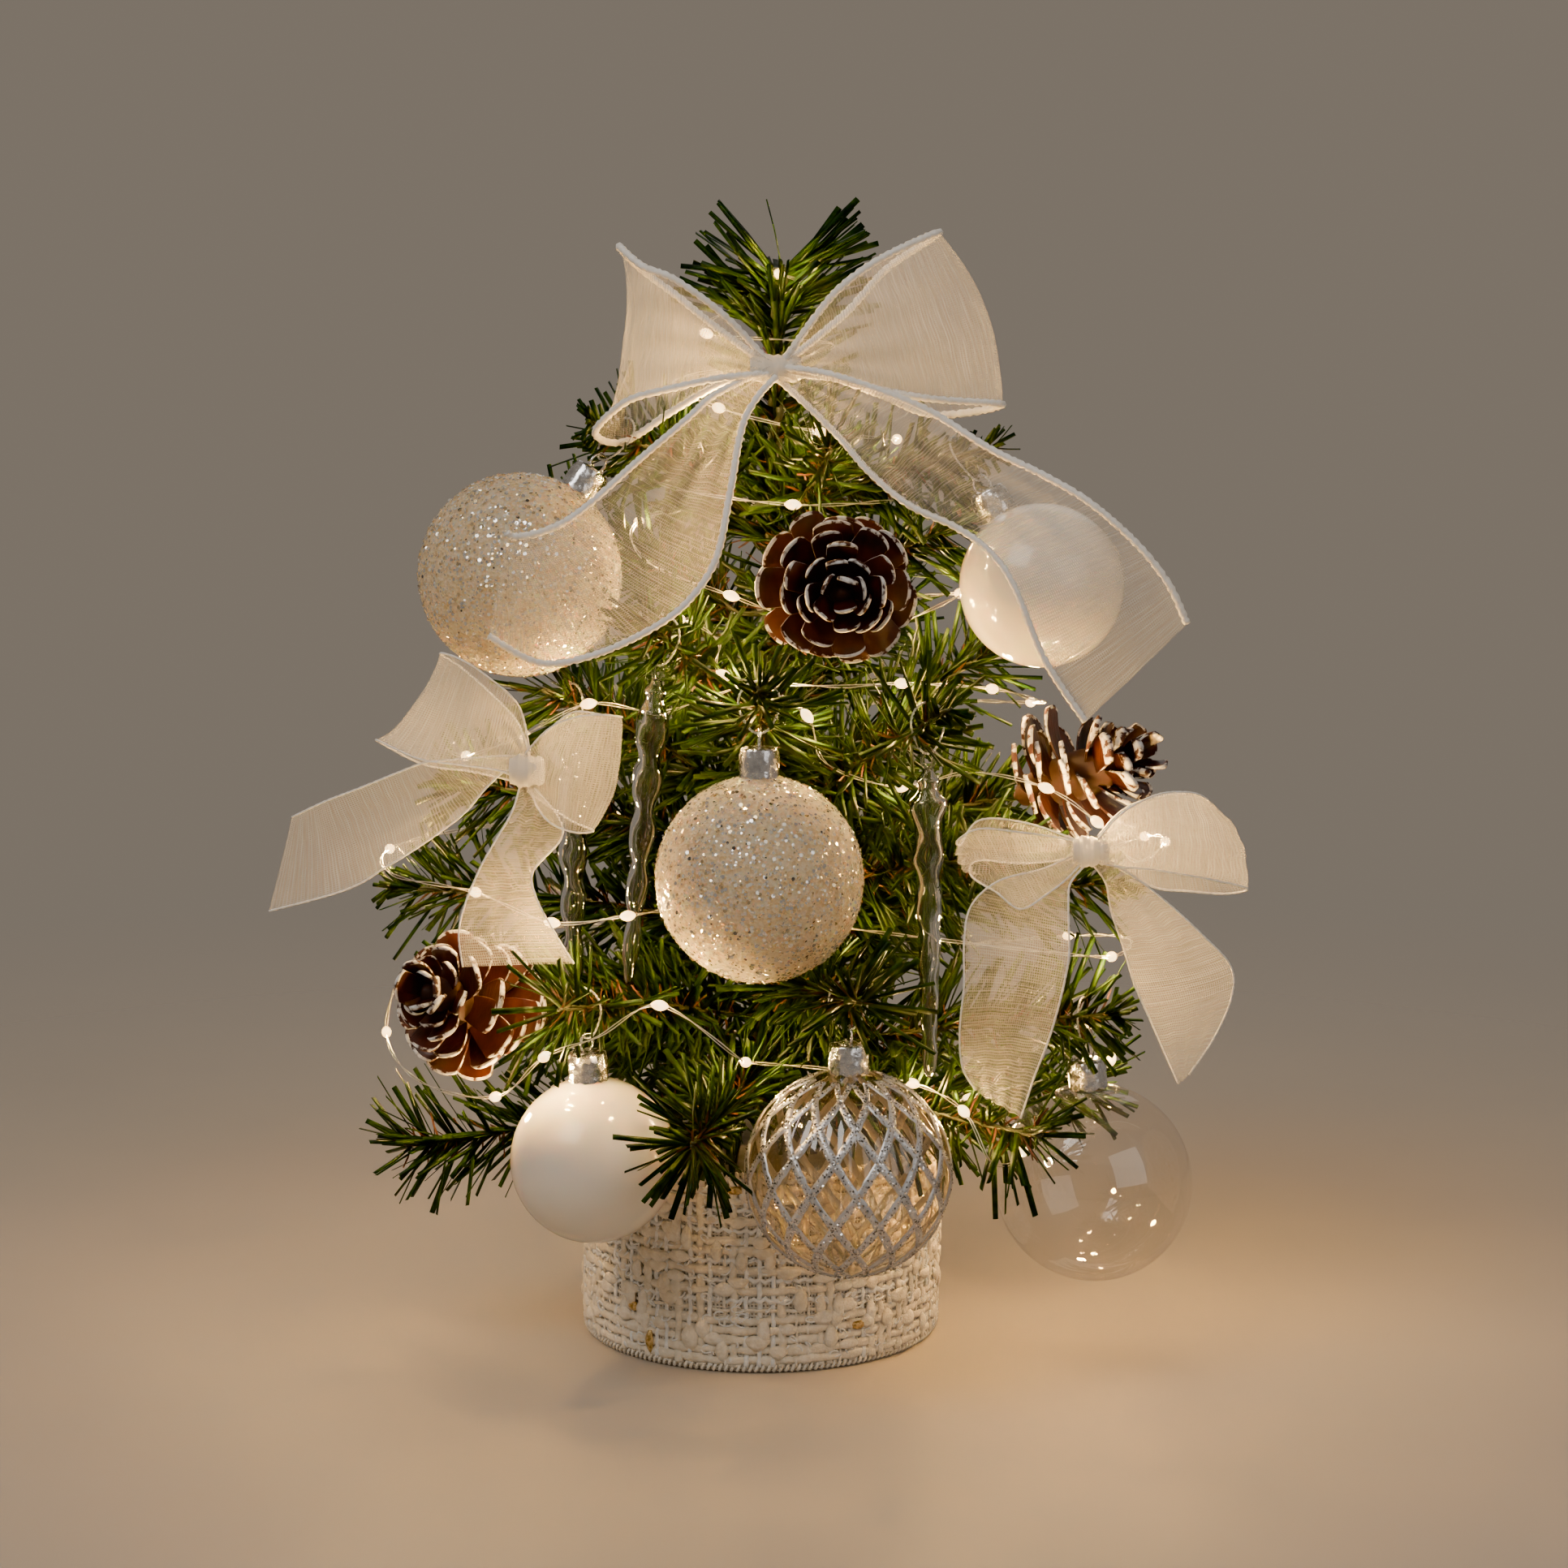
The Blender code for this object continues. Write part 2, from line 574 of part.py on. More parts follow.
# ---- pinecones ------------------------------------------------------------------------------
# name: (middle of the cone, direction its tip points)
CONES = {
    "pinecone_front": ((23, -73, 239), (0.04, -1.0, 0.0)),
    "pinecone_right": ((99, -36, 181), (0.86, -0.34, 0.36)),
    "pinecone_left": ((-91, -56, 115), (-0.42, -0.80, 0.34)),
}


def make_cone(name, middle, points_to):
    """A pinecone's outer shape with the wired stem that holds it to its branch."""
    turn = Vector(points_to).to_track_quat("Z", "Y")
    half = CONE_LENGTH / 2
    stations = 7
    outline = [(0, -half - 3), (2.2, -half - 3), (2.2, -half)]
    for k in range(stations):
        share = (k + 0.5) / stations
        outline.append((CONE_RADIUS * math.sin(math.pi * share ** 0.8) ** 0.7, -half + CONE_LENGTH * share))
    outline.append((0, half))
    cone = place(name, turned(name, outline, 14), CONE, at=placed(middle))
    cone.rotation_euler = turn.to_euler()


# ---- bows -----------------------------------------------------------------------------------
# A loop is a list of (centre, half height, half thickness, outward lean); a tail is a list of
# (one edge, other edge). All are places in millimetres.
BOWS = {
    "bow_top": {
        "knot": (5.0, -52, 301),
        "core": 5.0,
        "loops": [
            [((1, -52, 301), 4, 4), ((-14, -50, 309), 14, 7), ((-34, -48, 313), 24, 9), ((-51, -47, 315), 29, 6)],
            [((9, -52, 301), 4, 4), ((24, -50, 306), 13, 7), ((44, -48, 311), 24, 9), ((62, -46, 312), 27, 6)],
        ],
        "tails": [
            [((1, -54, 305), (5, -55, 297)), ((-21, -62, 285), (-9, -62, 282)), ((-36, -72, 272), (-10, -72, 266)),
             ((-56, -82, 254), (-13, -83, 247)), ((-69, -86, 250), (-36, -90, 226)), ((-78, -84, 244), (-70, -88, 220))],
            [((7, -54, 299), (9, -55, 293)), ((34, -62, 286), (24, -62, 276)), ((54, -68, 278), (46, -72, 262)),
             ((78, -74, 262), (58, -78, 248)), ((104, -74, 246), (70, -78, 228)), ((116, -72, 226), (88, -76, 200))],
        ],
    },
    "bow_left": {
        "knot": (-69, -70, 186),
        "core": 4.0,
        "loops": [
            [((-72, -70, 187), 4, 3), ((-84, -71, 198), 9, 5), ((-96, -72, 206), 12, 6), ((-105, -73, 210), 11, 5)],
            [((-66, -72, 187), 4, 3), ((-58, -78, 190), 10, 5), ((-50, -82, 189), 14, 6), ((-45, -84, 188), 13, 5)],
        ],
        "tails": [
            [((-72, -72, 188), (-72, -73, 182)), ((-104, -70, 188), (-92, -70, 168)), ((-132, -66, 176), (-112, -66, 158)),
             ((-146, -62, 172), (-151, -62, 145))],
            [((-72, -73, 182), (-66, -74, 181)), ((-84, -82, 156), (-68, -82, 165)), ((-89, -84, 140), (-58, -84, 142)),
             ((-88, -85, 130), (-53, -85, 130))],
        ],
    },
    "bow_right": {
        "knot": (95, -76, 160),
        "core": 4.0,
        "loops": [
            [((91, -76, 160), 4, 3), ((80, -78, 160), 9, 5), ((68, -80, 161), 11, 6), ((58, -80, 162), 8, 5)],
            [((99, -76, 160), 4, 3), ((110, -74, 164), 8, 5), ((124, -70, 167), 13, 6), ((136, -66, 163), 12, 5)],
        ],
        "tails": [
            [((91, -78, 160), (95, -79, 156)), ((67, -86, 150), (88, -86, 145)), ((57, -88, 128), (85, -88, 120)),
             ((55, -86, 98), (78, -86, 102)), ((66, -84, 86), (76, -84, 84))],
            [((99, -78, 158), (94, -79, 154)), ((121, -70, 150), (106, -72, 141)), ((139, -62, 130), (116, -64, 118)),
             ((140, -58, 118), (126, -58, 92))],
        ],
    },
}


def loop_section(centre, half_height, half_thick, lean):
    """An upright flattened ring of eight points about a centre, square to the way the loop runs."""
    across = UP.cross(lean).normalized()
    ring = []
    for k in range(8):
        a = 2 * math.pi * k / 8
        ring.append(placed(centre) + UP * half_height * math.cos(a) + across * half_thick * math.sin(a))
    return ring


def tail_section(left, right, face):
    """A flat ribbon section between its two edges, thickened along its face's direction."""
    left, right = placed(left), placed(right)
    half = face * RIBBON_THICK / 2
    return [left - half, right - half, right + half, left + half]


def tail_face(stations, k):
    """Unit normal of the ribbon at a station, from its width and the way it runs."""
    before = stations[max(k - 1, 0)]
    after = stations[min(k + 1, len(stations) - 1)]
    run = sum((Vector(p) for p in after), Vector()) - sum((Vector(p) for p in before), Vector())
    width = Vector(stations[k][1]) - Vector(stations[k][0])
    face = run.cross(width).normalized()
    return face if face.y > 0 else -face


def make_bow(name, bow):
    """One ribbon tied into a bow: a knot with its two loops and two tails, as one soft body."""
    knot = placed(bow["knot"])
    core = bow["core"]
    steps = 4
    arcs = [math.pi * k / steps for k in range(steps + 1)]
    outline = [(core * math.sin(a), -core * 1.25 * math.cos(a)) for a in arcs]
    outline[0] = (0, -core * 1.25)
    outline[-1] = (0, core * 1.25)
    body = place(name, turned(name, outline, 10), ORGANZA, at=knot)
    body.rotation_euler = (0, math.pi / 2, 0)
    for k, stations in enumerate(bow["loops"]):
        lean = (Vector(stations[-1][0]) - Vector(stations[0][0])).normalized()
        sections = [loop_section(*station, lean) for station in stations]
        part = f"{name}_loop_{k + 1}"
        join(body, place(part, lofted(part, sections), ORGANZA))
    for k, stations in enumerate(bow["tails"]):
        sections = [tail_section(*pair, tail_face(stations, j)) for j, pair in enumerate(stations)]
        part = f"{name}_tail_{k + 1}"
        join(body, place(part, lofted(part, sections), ORGANZA))


# ---- light string ---------------------------------------------------------------------------
# The route of the wires round the tree. Before it they rise through the base from the battery tray.
LEAD_LIFT = 0.6              # the lead starts this far above the tray
LEAD_BEND = 1.0              # and turns this far below the fabric's top
LIGHT_ROUTE = [
    (38, -19, 66), (66, -6, 74), (98, -2, 80), (111, 2, 84),
    (104, -4, 97), (80, -20, 89), (70, -44, 83), (78, -68, 72), (68, -82, 72), (60, -76, 86),
    (46, -48, 88), (20, -46, 92), (-4, -64, 98), (-6, -98, 107), (-28, -98, 122), (-46, -94, 112),
    (-62, -84, 104), (-78, -66, 88), (-104, -36, 86), (-118, -2, 94), (-114, 32, 110), (-94, 68, 112),
    (-46, 102, 110), (8, 114, 104), (64, 98, 104), (102, 58, 114), (117, 10, 122), (106, -44, 126),
    (80, -66, 132), (54, -60, 134), (24, -50, 136), (0, -44, 138), (-22, -52, 142), (-38, -76, 144),
    (-60, -76, 142), (-84, -58, 148), (-112, -26, 148), (-118, 14, 150), (-96, 60, 150), (-50, 92, 150),
    (8, 102, 146), (60, 86, 142), (98, 56, 140), (122, 14, 154), (124, -24, 158), (112, -50, 156),
    (99, -65, 170), (84, -65, 180), (62, -60, 184), (42, -48, 178), (20, -56, 186), (14, -72, 202),
    (0, -64, 210), (-14, -56, 206), (-30, -44, 200), (-50, -58, 204), (-70, -52, 194), (-90, -20, 184),
    (-98, 12, 184), (-78, 52, 182), (-34, 86, 184), (12, 98, 186), (56, 66, 192), (86, 22, 196),
    (86, -12, 200), (70, -34, 206), (42, -58, 210), (20, -66, 210), (-10, -74, 214), (-12, -52, 222),
    (-24, -34, 227), (-47, 0, 226), (-36, 38, 221), (2, 60, 223), (42, 36, 228), (62, 4, 232),
    (58, -23, 232), (34, -34, 224), (6, -46, 230), (-8, -62, 236), (-34, -28, 244), (-38, 10, 254),
    (-10, 48, 257), (36, 34, 262), (44, -12, 262), (10, -51, 262), (-28, -34, 267), (-32, 12, 274),
    (8, 38, 281), (42, -6, 280), (18, -43, 283), (-12, -38, 290), (-26, 0, 298), (6, 26, 304),
    (22, -6, 309), (-16, -19, 312), (-8, 14, 320), (14, 8, 326), (6, -11, 330),
]


def make_lights():
    lead = [Vector((*LEAD_HOLE, TRAY_TOP + LEAD_LIFT)), Vector((*LEAD_HOLE, BASE_HEIGHT - LEAD_BEND))]
    cord("light_string", lead + [placed(p) for p in LIGHT_ROUTE], CORD_RADIUS, LIGHT_WIRE)


def main():
    for node in list(bpy.data.objects):
        bpy.data.objects.remove(node)
    make_tub()
    make_sleeve()
    make_cover_and_ballast()
    make_battery_case()
    make_switch()
    make_trunk()
    for number, branch in enumerate(BRANCHES, start=1):
        make_branch(number, *branch)
    for name, values in BAUBLES.items():
        make_bauble(name, *values)
    for name, values in ICICLES.items():
        make_icicle(name, *values)
    for name, values in CONES.items():
        make_cone(name, *values)
    for name, bow in BOWS.items():
        make_bow(name, bow)
    make_lights()


main()
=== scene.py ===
"""Looks of the tabletop tree: needles, ribbons, ornaments, lights and base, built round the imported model.

Shapes are gathered in millimetres and turned into metres when an object is made from them.
"""
import json
import math
import random

import bpy
from mathutils import Matrix, Quaternion, Vector, noise
from mathutils.bvhtree import BVHTree


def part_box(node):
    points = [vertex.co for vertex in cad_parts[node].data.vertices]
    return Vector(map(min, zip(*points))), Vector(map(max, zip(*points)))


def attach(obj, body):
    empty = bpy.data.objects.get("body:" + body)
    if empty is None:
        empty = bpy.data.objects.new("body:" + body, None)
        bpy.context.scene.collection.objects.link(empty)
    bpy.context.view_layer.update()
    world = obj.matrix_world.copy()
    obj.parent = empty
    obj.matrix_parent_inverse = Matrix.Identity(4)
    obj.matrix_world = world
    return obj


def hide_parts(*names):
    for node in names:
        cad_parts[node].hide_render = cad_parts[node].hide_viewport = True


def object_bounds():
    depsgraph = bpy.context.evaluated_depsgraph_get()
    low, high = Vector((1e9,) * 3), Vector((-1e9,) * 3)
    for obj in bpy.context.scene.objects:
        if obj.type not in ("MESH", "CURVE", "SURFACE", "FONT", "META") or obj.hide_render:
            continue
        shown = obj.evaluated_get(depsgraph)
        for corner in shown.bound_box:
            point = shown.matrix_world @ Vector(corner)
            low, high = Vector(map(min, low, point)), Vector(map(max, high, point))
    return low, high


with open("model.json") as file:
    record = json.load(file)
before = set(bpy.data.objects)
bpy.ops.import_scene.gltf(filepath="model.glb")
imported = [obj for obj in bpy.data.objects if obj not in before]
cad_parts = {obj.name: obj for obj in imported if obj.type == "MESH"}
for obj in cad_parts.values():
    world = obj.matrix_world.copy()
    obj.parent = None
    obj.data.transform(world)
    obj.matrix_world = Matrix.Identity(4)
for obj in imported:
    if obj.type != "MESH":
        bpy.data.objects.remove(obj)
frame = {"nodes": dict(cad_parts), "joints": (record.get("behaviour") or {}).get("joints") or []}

MM = 0.001
UP = Vector((0.0, 0.0, 1.0))
CAD_LOW, CAD_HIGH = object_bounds()
NODES = frame["nodes"]
JOINTS = {joint["name"]: joint for joint in frame["joints"]}


# ---- meshes ---------------------------------------------------------------------------------
class Shape:
    """Points and faces in millimetres; each face has a material number."""

    def __init__(self):
        self.points = []
        self.faces = []
        self.kinds = []
        self.across = []

    def add(self, points, faces, kind=0, across=None):
        start = len(self.points)
        self.points += [tuple(p) for p in points]
        self.faces += [tuple(i + start for i in face) for face in faces]
        self.kinds += [kind] * len(faces)
        self.across += list(across) if across else [(0.0, 0.0)] * len(points)

    def tree(self):
        return BVHTree.FromPolygons(self.points, self.faces)


def grid_faces(rows, columns, wrap_rows=False, wrap_columns=False):
    faces = []
    for i in range(rows if wrap_rows else rows - 1):
        for j in range(columns if wrap_columns else columns - 1):
            a, b = i * columns, (i + 1) % rows * columns
            faces.append((a + j, a + (j + 1) % columns, b + (j + 1) % columns, b + j))
    return faces


def moving_frame(path, cyclic=False):
    """(point, along, side, other side) at every point of a path, turning as little as possible."""
    count = len(path)
    side = None
    frames = []
    for k, point in enumerate(path):
        before = path[k - 1] if cyclic or k else path[0]
        after = path[(k + 1) % count] if cyclic or k < count - 1 else path[-1]
        along = (after - before).normalized()
        if side is None:
            side = along.orthogonal().normalized()
        side = (side - along * side.dot(along)).normalized()
        frames.append((point, along, side, along.cross(side)))
    return frames


def circle(radius, sides, turn=0.0):
    turns = [turn + 2 * math.pi * j / sides for j in range(sides)]
    return [(radius * math.cos(a), radius * math.sin(a)) for a in turns]


def end_caps(sides, total):
    """Faces that close the first and last ring of a tube of total points."""
    return [tuple(range(sides))[::-1], tuple(range(total - sides, total))]


def tube(shape, path, radii, sides=6, kind=0, cyclic=False):
    """A round tube along a path, of one radius or a radius for each point."""
    path = [Vector(p) for p in path]
    if not hasattr(radii, "__len__"):
        radii = [radii] * len(path)
    points = []
    for radius, (point, _, side, other) in zip(radii, moving_frame(path, cyclic)):
        points += [point + side * x + other * y for x, y in circle(radius, sides)]
    faces = grid_faces(len(path), sides, wrap_rows=cyclic, wrap_columns=True)
    if not cyclic:
        faces += end_caps(sides, len(points))
    shape.add(points, faces, kind)


def twisted_pair(shape, path, spread, radius, sides, per_step, kind=0, cyclic=False):
    """Two wires wound round each other along a path, each spread from its middle."""
    frames = moving_frame(path, cyclic)
    for phase in (0.0, math.pi):
        strand = []
        for k, (point, _, a, b) in enumerate(frames):
            turn = per_step * k + phase
            strand.append(point + (a * math.cos(turn) + b * math.sin(turn)) * spread)
        tube(shape, strand, radius, sides, kind, cyclic)


def any_way(draw):
    """A random vector of no favoured direction."""
    return Vector((draw.gauss(0, 1), draw.gauss(0, 1), draw.gauss(0, 1)))


def smooth_path(points, spacing):
    """A Catmull-Rom curve through the points, with a point about every spacing."""
    points = [Vector(p) for p in points]
    path = []
    for k in range(len(points) - 1):
        a, b, c, d = (points[min(max(k + j, 0), len(points) - 1)] for j in (-1, 0, 1, 2))
        steps = max(1, round((c - b).length / spacing))
        for i in range(steps):
            path.append(spline(a, b, c, d, i / steps))
    return path + [points[-1]]


def spline(a, b, c, d, t):
    """Catmull-Rom value between b and c."""
    return 0.5 * (2 * b + (c - a) * t + (2 * a - 5 * b + 4 * c - d) * t * t + (3 * b - a - 3 * c + d) * t ** 3)


def turned(shape, outline, sides, place=Matrix(), kind=0, ripple=None):
    """Turn an outline of (radius, height) about Z; ripple(angle, row) scales the radius."""
    points = []
    for row, (radius, height) in enumerate(outline):
        for j in range(sides):
            a = 2 * math.pi * j / sides
            r = radius * (ripple(a, row) if ripple else 1.0)
            points.append(place @ Vector((r * math.cos(a), r * math.sin(a), height)))
    faces = grid_faces(len(outline), sides, wrap_columns=True)
    if outline[0][0] > 1e-6:
        faces.append(tuple(range(sides))[::-1])
    if outline[-1][0] > 1e-6:
        faces.append(tuple(range(len(points) - sides, len(points))))
    shape.add(points, faces, kind)


def add_object(name, data, place=(0, 0, 0)):
    node = bpy.data.objects.new(name, data)
    bpy.context.scene.collection.objects.link(node)
    node.location = place
    return node


def make(name, shape, looks, body, replaces=()):
    """An object from a shape: materials, smooth shading, its body, and the nodes it stands for."""
    data = bpy.data.meshes.new(name)
    data.from_pydata([Vector(p) * MM for p in shape.points], [], shape.faces)
    for look in looks:
        data.materials.append(look)
    data.polygons.foreach_set("material_index", shape.kinds)
    data.shade_smooth()
    if any(u or v for u, v in shape.across[:400]):
        layer = data.uv_layers.new(name="ribbon")
        for loop in data.loops:
            layer.data[loop.index].uv = shape.across[loop.vertex_index]
    data.validate()
    data.update()
    piece = add_object(name, data)
    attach(piece, body)
    if replaces:
        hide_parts(*replaces)
    return piece


# ---- materials ------------------------------------------------------------------------------
class Look:
    """A Principled material with the nodes that feed it."""

    def __init__(self, name, **sockets):
        self.material = bpy.data.materials.new(name)
        self.material.use_nodes = True
        self.tree = self.material.node_tree
        self.shader = self.tree.nodes["Principled BSDF"]
        self.output = self.tree.nodes["Material Output"]
        for key, value in sockets.items():
            self.shader.inputs[key.replace("_", " ")].default_value = value
        self.where = self.tree.nodes.new("ShaderNodeTexCoord").outputs["Object"]

    def node(self, kind, inputs=None, **settings):
        made = self.tree.nodes.new("ShaderNode" + kind)
        for key, value in settings.items():
            setattr(made, key, value)
        for key, value in (inputs or {}).items():
            self.set(made.inputs[key], value)
        return made

    def set(self, socket, value):
        if isinstance(value, bpy.types.NodeSocket):
            self.tree.links.new(value, socket)
        else:
            socket.default_value = value

    def noise(self, scale, detail=2.0, stretch=None):
        where = self.where
        if stretch:
            where = self.node("Mapping", {"Vector": where, "Scale": stretch}).outputs[0]
        return self.node("TexNoise", {"Vector": where, "Scale": scale, "Detail": detail}).outputs["Fac"]

    def cells(self, scale, output="Distance"):
        return self.node("TexVoronoi", {"Vector": self.where, "Scale": scale}).outputs[output]

    def ramp(self, source, stops):
        made = self.node("ValToRGB", {"Fac": source})
        elements = made.color_ramp.elements
        while len(elements) < len(stops):
            elements.new(0.5)
        for element, (position, colour) in zip(elements, stops):
            element.position = position
            element.color = (*colour, 1.0) if hasattr(colour, "__len__") else (colour, colour, colour, 1.0)
        return made.outputs["Color"]

    def sum(self, operation, a, b):
        return self.node("Math", {0: a, 1: b}, operation=operation).outputs[0]

    def mix(self, share, first, second):
        """Give the surface share of the second shader and the rest of the first."""
        mixed = self.node("MixShader", {0: share, 1: first.outputs[0], 2: second.outputs[0]})
        self.tree.links.new(mixed.outputs[0], self.output.inputs["Surface"])
        return self

    def tint(self, scale, stops, detail=2.0):
        """Cloudy base colour."""
        return self.feed(Base_Color=self.ramp(self.noise(scale, detail), stops))

    def feed(self, **sockets):
        for key, value in sockets.items():
            self.set(self.shader.inputs[key.replace("_", " ")], value)
        return self

    def bump(self, source, distance, strength=1.0):
        """distance in millimetres"""
        made = self.node("Bump", {"Height": source, "Distance": distance * MM, "Strength": strength})
        return self.feed(Normal=made.outputs[0])


def colour(red, green, blue):
    return (red, green, blue, 1.0)


def plain_look(name, scale, stops, bump=None, detail=2.0, **sockets):
    """Cloudy colour and, where given, a fine bump: (noise scale, detail, height in millimetres, strength)."""
    look = Look(name, **sockets).tint(scale, stops, detail)
    if bump:
        grain, fine, height, strength = bump
        look.bump(look.noise(grain, fine), height, strength)
    return look.material


def let_through(look, share, tint):
    """Part of the light passes through the thin wall and spreads."""
    return look.mix(share, look.shader, look.node("BsdfTranslucent", {"Color": colour(*tint)})).material


def needle_look():
    look = Look("needle_green", Roughness=0.42, Specular_IOR_Level=0.20)
    look.tint(230.0, [(0.34, (0.004, 0.015, 0.003)), (0.5, (0.013, 0.042, 0.004)),
                      (0.68, (0.046, 0.096, 0.005))], 3.0)
    look.feed(Roughness=look.ramp(look.noise(420.0), [(0.3, 0.28), (0.7, 0.52)]))
    look.bump(look.noise(900.0), 0.10, 0.5)
    return let_through(look, 0.13, (0.20, 0.25, 0.02))


def organza_look(name, tint, open_share):
    """Sheer woven ribbon: fine threads both ways, denser where it is gathered, with a silky sheen."""
    look = Look(name, Roughness=0.42, Specular_IOR_Level=0.45, Sheen_Weight=0.35, Sheen_Roughness=0.4)
    uv = look.node("UVMap", uv_map="ribbon").outputs[0]
    split = look.node("SeparateXYZ", {0: uv})
    warp = thread_wave(look, split.outputs[0], 1.5)
    weft = thread_wave(look, split.outputs[1], 1.2)
    weave = look.sum("MAXIMUM", warp, weft)
    along = look.node("Mapping", {"Vector": uv, "Scale": (0.06, 1.4, 1.0)}).outputs[0]
    slub = look.node("TexNoise", {"Vector": along, "Scale": 1.0, "Detail": 3.0}).outputs["Fac"]
    cloud = look.noise(60.0, 2.0)
    solid = look.sum("ADD", look.sum("MULTIPLY", weave, 0.30), look.sum("MULTIPLY", slub, 0.34))
    solid = look.sum("ADD", solid, look.sum("MULTIPLY", cloud, 0.22))
    solid = look.ramp(solid, [(0.18, max(0.0, 1.0 - open_share - 0.12)), (0.75, 1.0 - open_share + 0.24)])
    look.feed(Base_Color=look.ramp(slub, [(0.3, tuple(c * 0.80 for c in tint)), (0.7, tint)]))
    look.bump(look.sum("ADD", weave, slub), 0.12, 0.35)
    through = look.node("BsdfTranslucent", {"Color": colour(0.99, 0.96, 0.88)})
    cloth = look.node("MixShader", {0: 0.42, 1: look.shader.outputs[0], 2: through.outputs[0]})
    return look.mix(solid, look.node("BsdfTransparent"), cloth).material


def thread_wave(look, source, per_mm):
    """Raised threads across a coordinate that is in millimetres."""
    turns = look.sum("MULTIPLY", source, 2 * math.pi * per_mm)
    return look.sum("MULTIPLY_ADD", look.sum("SINE", turns, 0.0), 0.5)


def frosted_look():
    """Glass shell under the glitter: sandy, pale gold, a little translucent."""
    look = Look("frosted_shell", Roughness=0.55, Subsurface_Weight=0.75, Coat_Weight=0.15)
    look.shader.inputs["Subsurface Radius"].default_value = (1.0, 0.72, 0.42)
    look.shader.inputs["Subsurface Scale"].default_value = 0.012
    grain = look.cells(1100.0, "Color")
    tint = look.ramp(grain, [(0.15, (0.70, 0.55, 0.33)), (0.45, (0.92, 0.79, 0.56)), (0.8, (1.0, 0.94, 0.79))])
    look.feed(Base_Color=tint, Roughness=look.ramp(grain, [(0.2, 0.25), (0.8, 0.75)]))
    look.bump(look.cells(1100.0), 0.5, 1.0)
    return let_through(look, 0.45, (0.98, 0.86, 0.64))


def flake_look(name, tint, roughness, metallic):
    look = Look(name, Roughness=roughness, Metallic=metallic, Coat_Weight=0.6)
    look.shader.inputs["Coat Roughness"].default_value = 0.05
    shade = look.ramp(look.cells(260.0, "Color"), [(0.0, tuple(c * 0.72 for c in tint)), (1.0, tint)])
    return look.feed(Base_Color=shade).bump(look.noise(900.0), 0.05, 0.4).material


def opal_look():
    look = Look("opal_white", Roughness=0.10, Subsurface_Weight=0.6, Coat_Weight=0.8)
    look.shader.inputs["Subsurface Radius"].default_value = (1.0, 0.8, 0.55)
    look.shader.inputs["Subsurface Scale"].default_value = 0.01
    look.shader.inputs["Coat Roughness"].default_value = 0.03
    look.tint(30.0, [(0.3, (0.88, 0.84, 0.77)), (0.7, (0.93, 0.90, 0.85))], 3.0)
    look.feed(Roughness=look.ramp(look.noise(90.0), [(0.3, 0.08), (0.7, 0.16)]))
    look.bump(look.noise(60.0, 1.0), 0.12, 0.25)
    return let_through(look, 0.22, (0.98, 0.90, 0.74))


def thin_glass_look(name, tint, rim, stretch=None):
    """A blown shell: clear in the middle, bright and reflective towards the edge."""
    look = Look(name)
    view = look.node("LayerWeight", {"Blend": 0.35})
    flow = look.noise(35.0, 2.0, stretch)
    bend = look.node("Bump", {"Height": flow, "Distance": 0.9 * MM, "Strength": 0.35}).outputs[0]
    gloss = look.node("BsdfGlossy", {"Color": colour(1, 1, 1), "Roughness": 0.03, "Normal": bend})
    clear = look.node("BsdfTransparent", {"Color": colour(*tint)})
    share = look.ramp(view.outputs["Facing"], [(0.0, 0.09), (0.55, 0.15), (0.85, rim * 0.6), (1.0, rim)])
    return look.mix(share, clear, gloss).material


def foil_look():
    look = Look("crumpled_foil", Metallic=1.0, Roughness=0.2)
    look.tint(500.0, [(0.3, (0.62, 0.63, 0.66)), (0.7, (0.90, 0.91, 0.93))])
    look.feed(Roughness=look.ramp(look.noise(700.0), [(0.3, 0.12), (0.7, 0.34)]))
    return look.bump(look.noise(420.0), 0.35, 0.7).material


def acrylic_look():
    look = Look("icicle_acrylic", IOR=1.47, Transmission_Weight=1.0, Base_Color=colour(1.0, 0.985, 0.95))
    look.feed(Roughness=look.ramp(look.noise(200.0), [(0.4, 0.01), (0.8, 0.06)]))
    return look.bump(look.noise(240.0), 0.25, 0.3).material


def scale_look():
    look = Look("scale_brown", Roughness=0.42, Coat_Weight=0.25)
    look.tint(160.0, [(0.30, (0.014, 0.003, 0.002)), (0.55, (0.048, 0.009, 0.005)),
                      (0.80, (0.078, 0.018, 0.008))], 5.0)
    return look.bump(look.noise(420.0, 5.0, (1.0, 1.0, 0.4)), 0.5, 0.6).material


def yarn_look(name, dark, light, sheen=0.3):
    return plain_look(name, 420.0, [(0.3, dark), (0.65, light)], (1500.0, 3.0, 0.35, 0.8), 4.0,
                      Roughness=0.85, Sheen_Weight=sheen)


def backing_look():
    """The fine open ground weave of the tweed: pale threads, with painted shade darkening the gaps between them.
    """
    look = Look("tweed_ground", Roughness=0.9, Sheen_Weight=0.2)
    split = look.node("SeparateXYZ", {0: look.node("UVMap", uv_map="ribbon").outputs[0]})
    warp, weft = thread_wave(look, split.outputs[0], 0.85), thread_wave(look, split.outputs[1], 0.8)
    weave = look.sum("MAXIMUM", warp, weft)
    uneven = look.sum("ADD", weave, look.sum("MULTIPLY", look.noise(300.0, 3.0), 0.5))
    # painted shade: the low places between the threads, and the threads' flanks, are coloured dark brown
    look.feed(Base_Color=look.ramp(uneven, [(0.55, (0.32, 0.28, 0.22)), (0.85, (0.72, 0.66, 0.55)),
                                            (1.0, (0.80, 0.74, 0.63))]))
    return look.bump(uneven, 0.5, 0.9).material


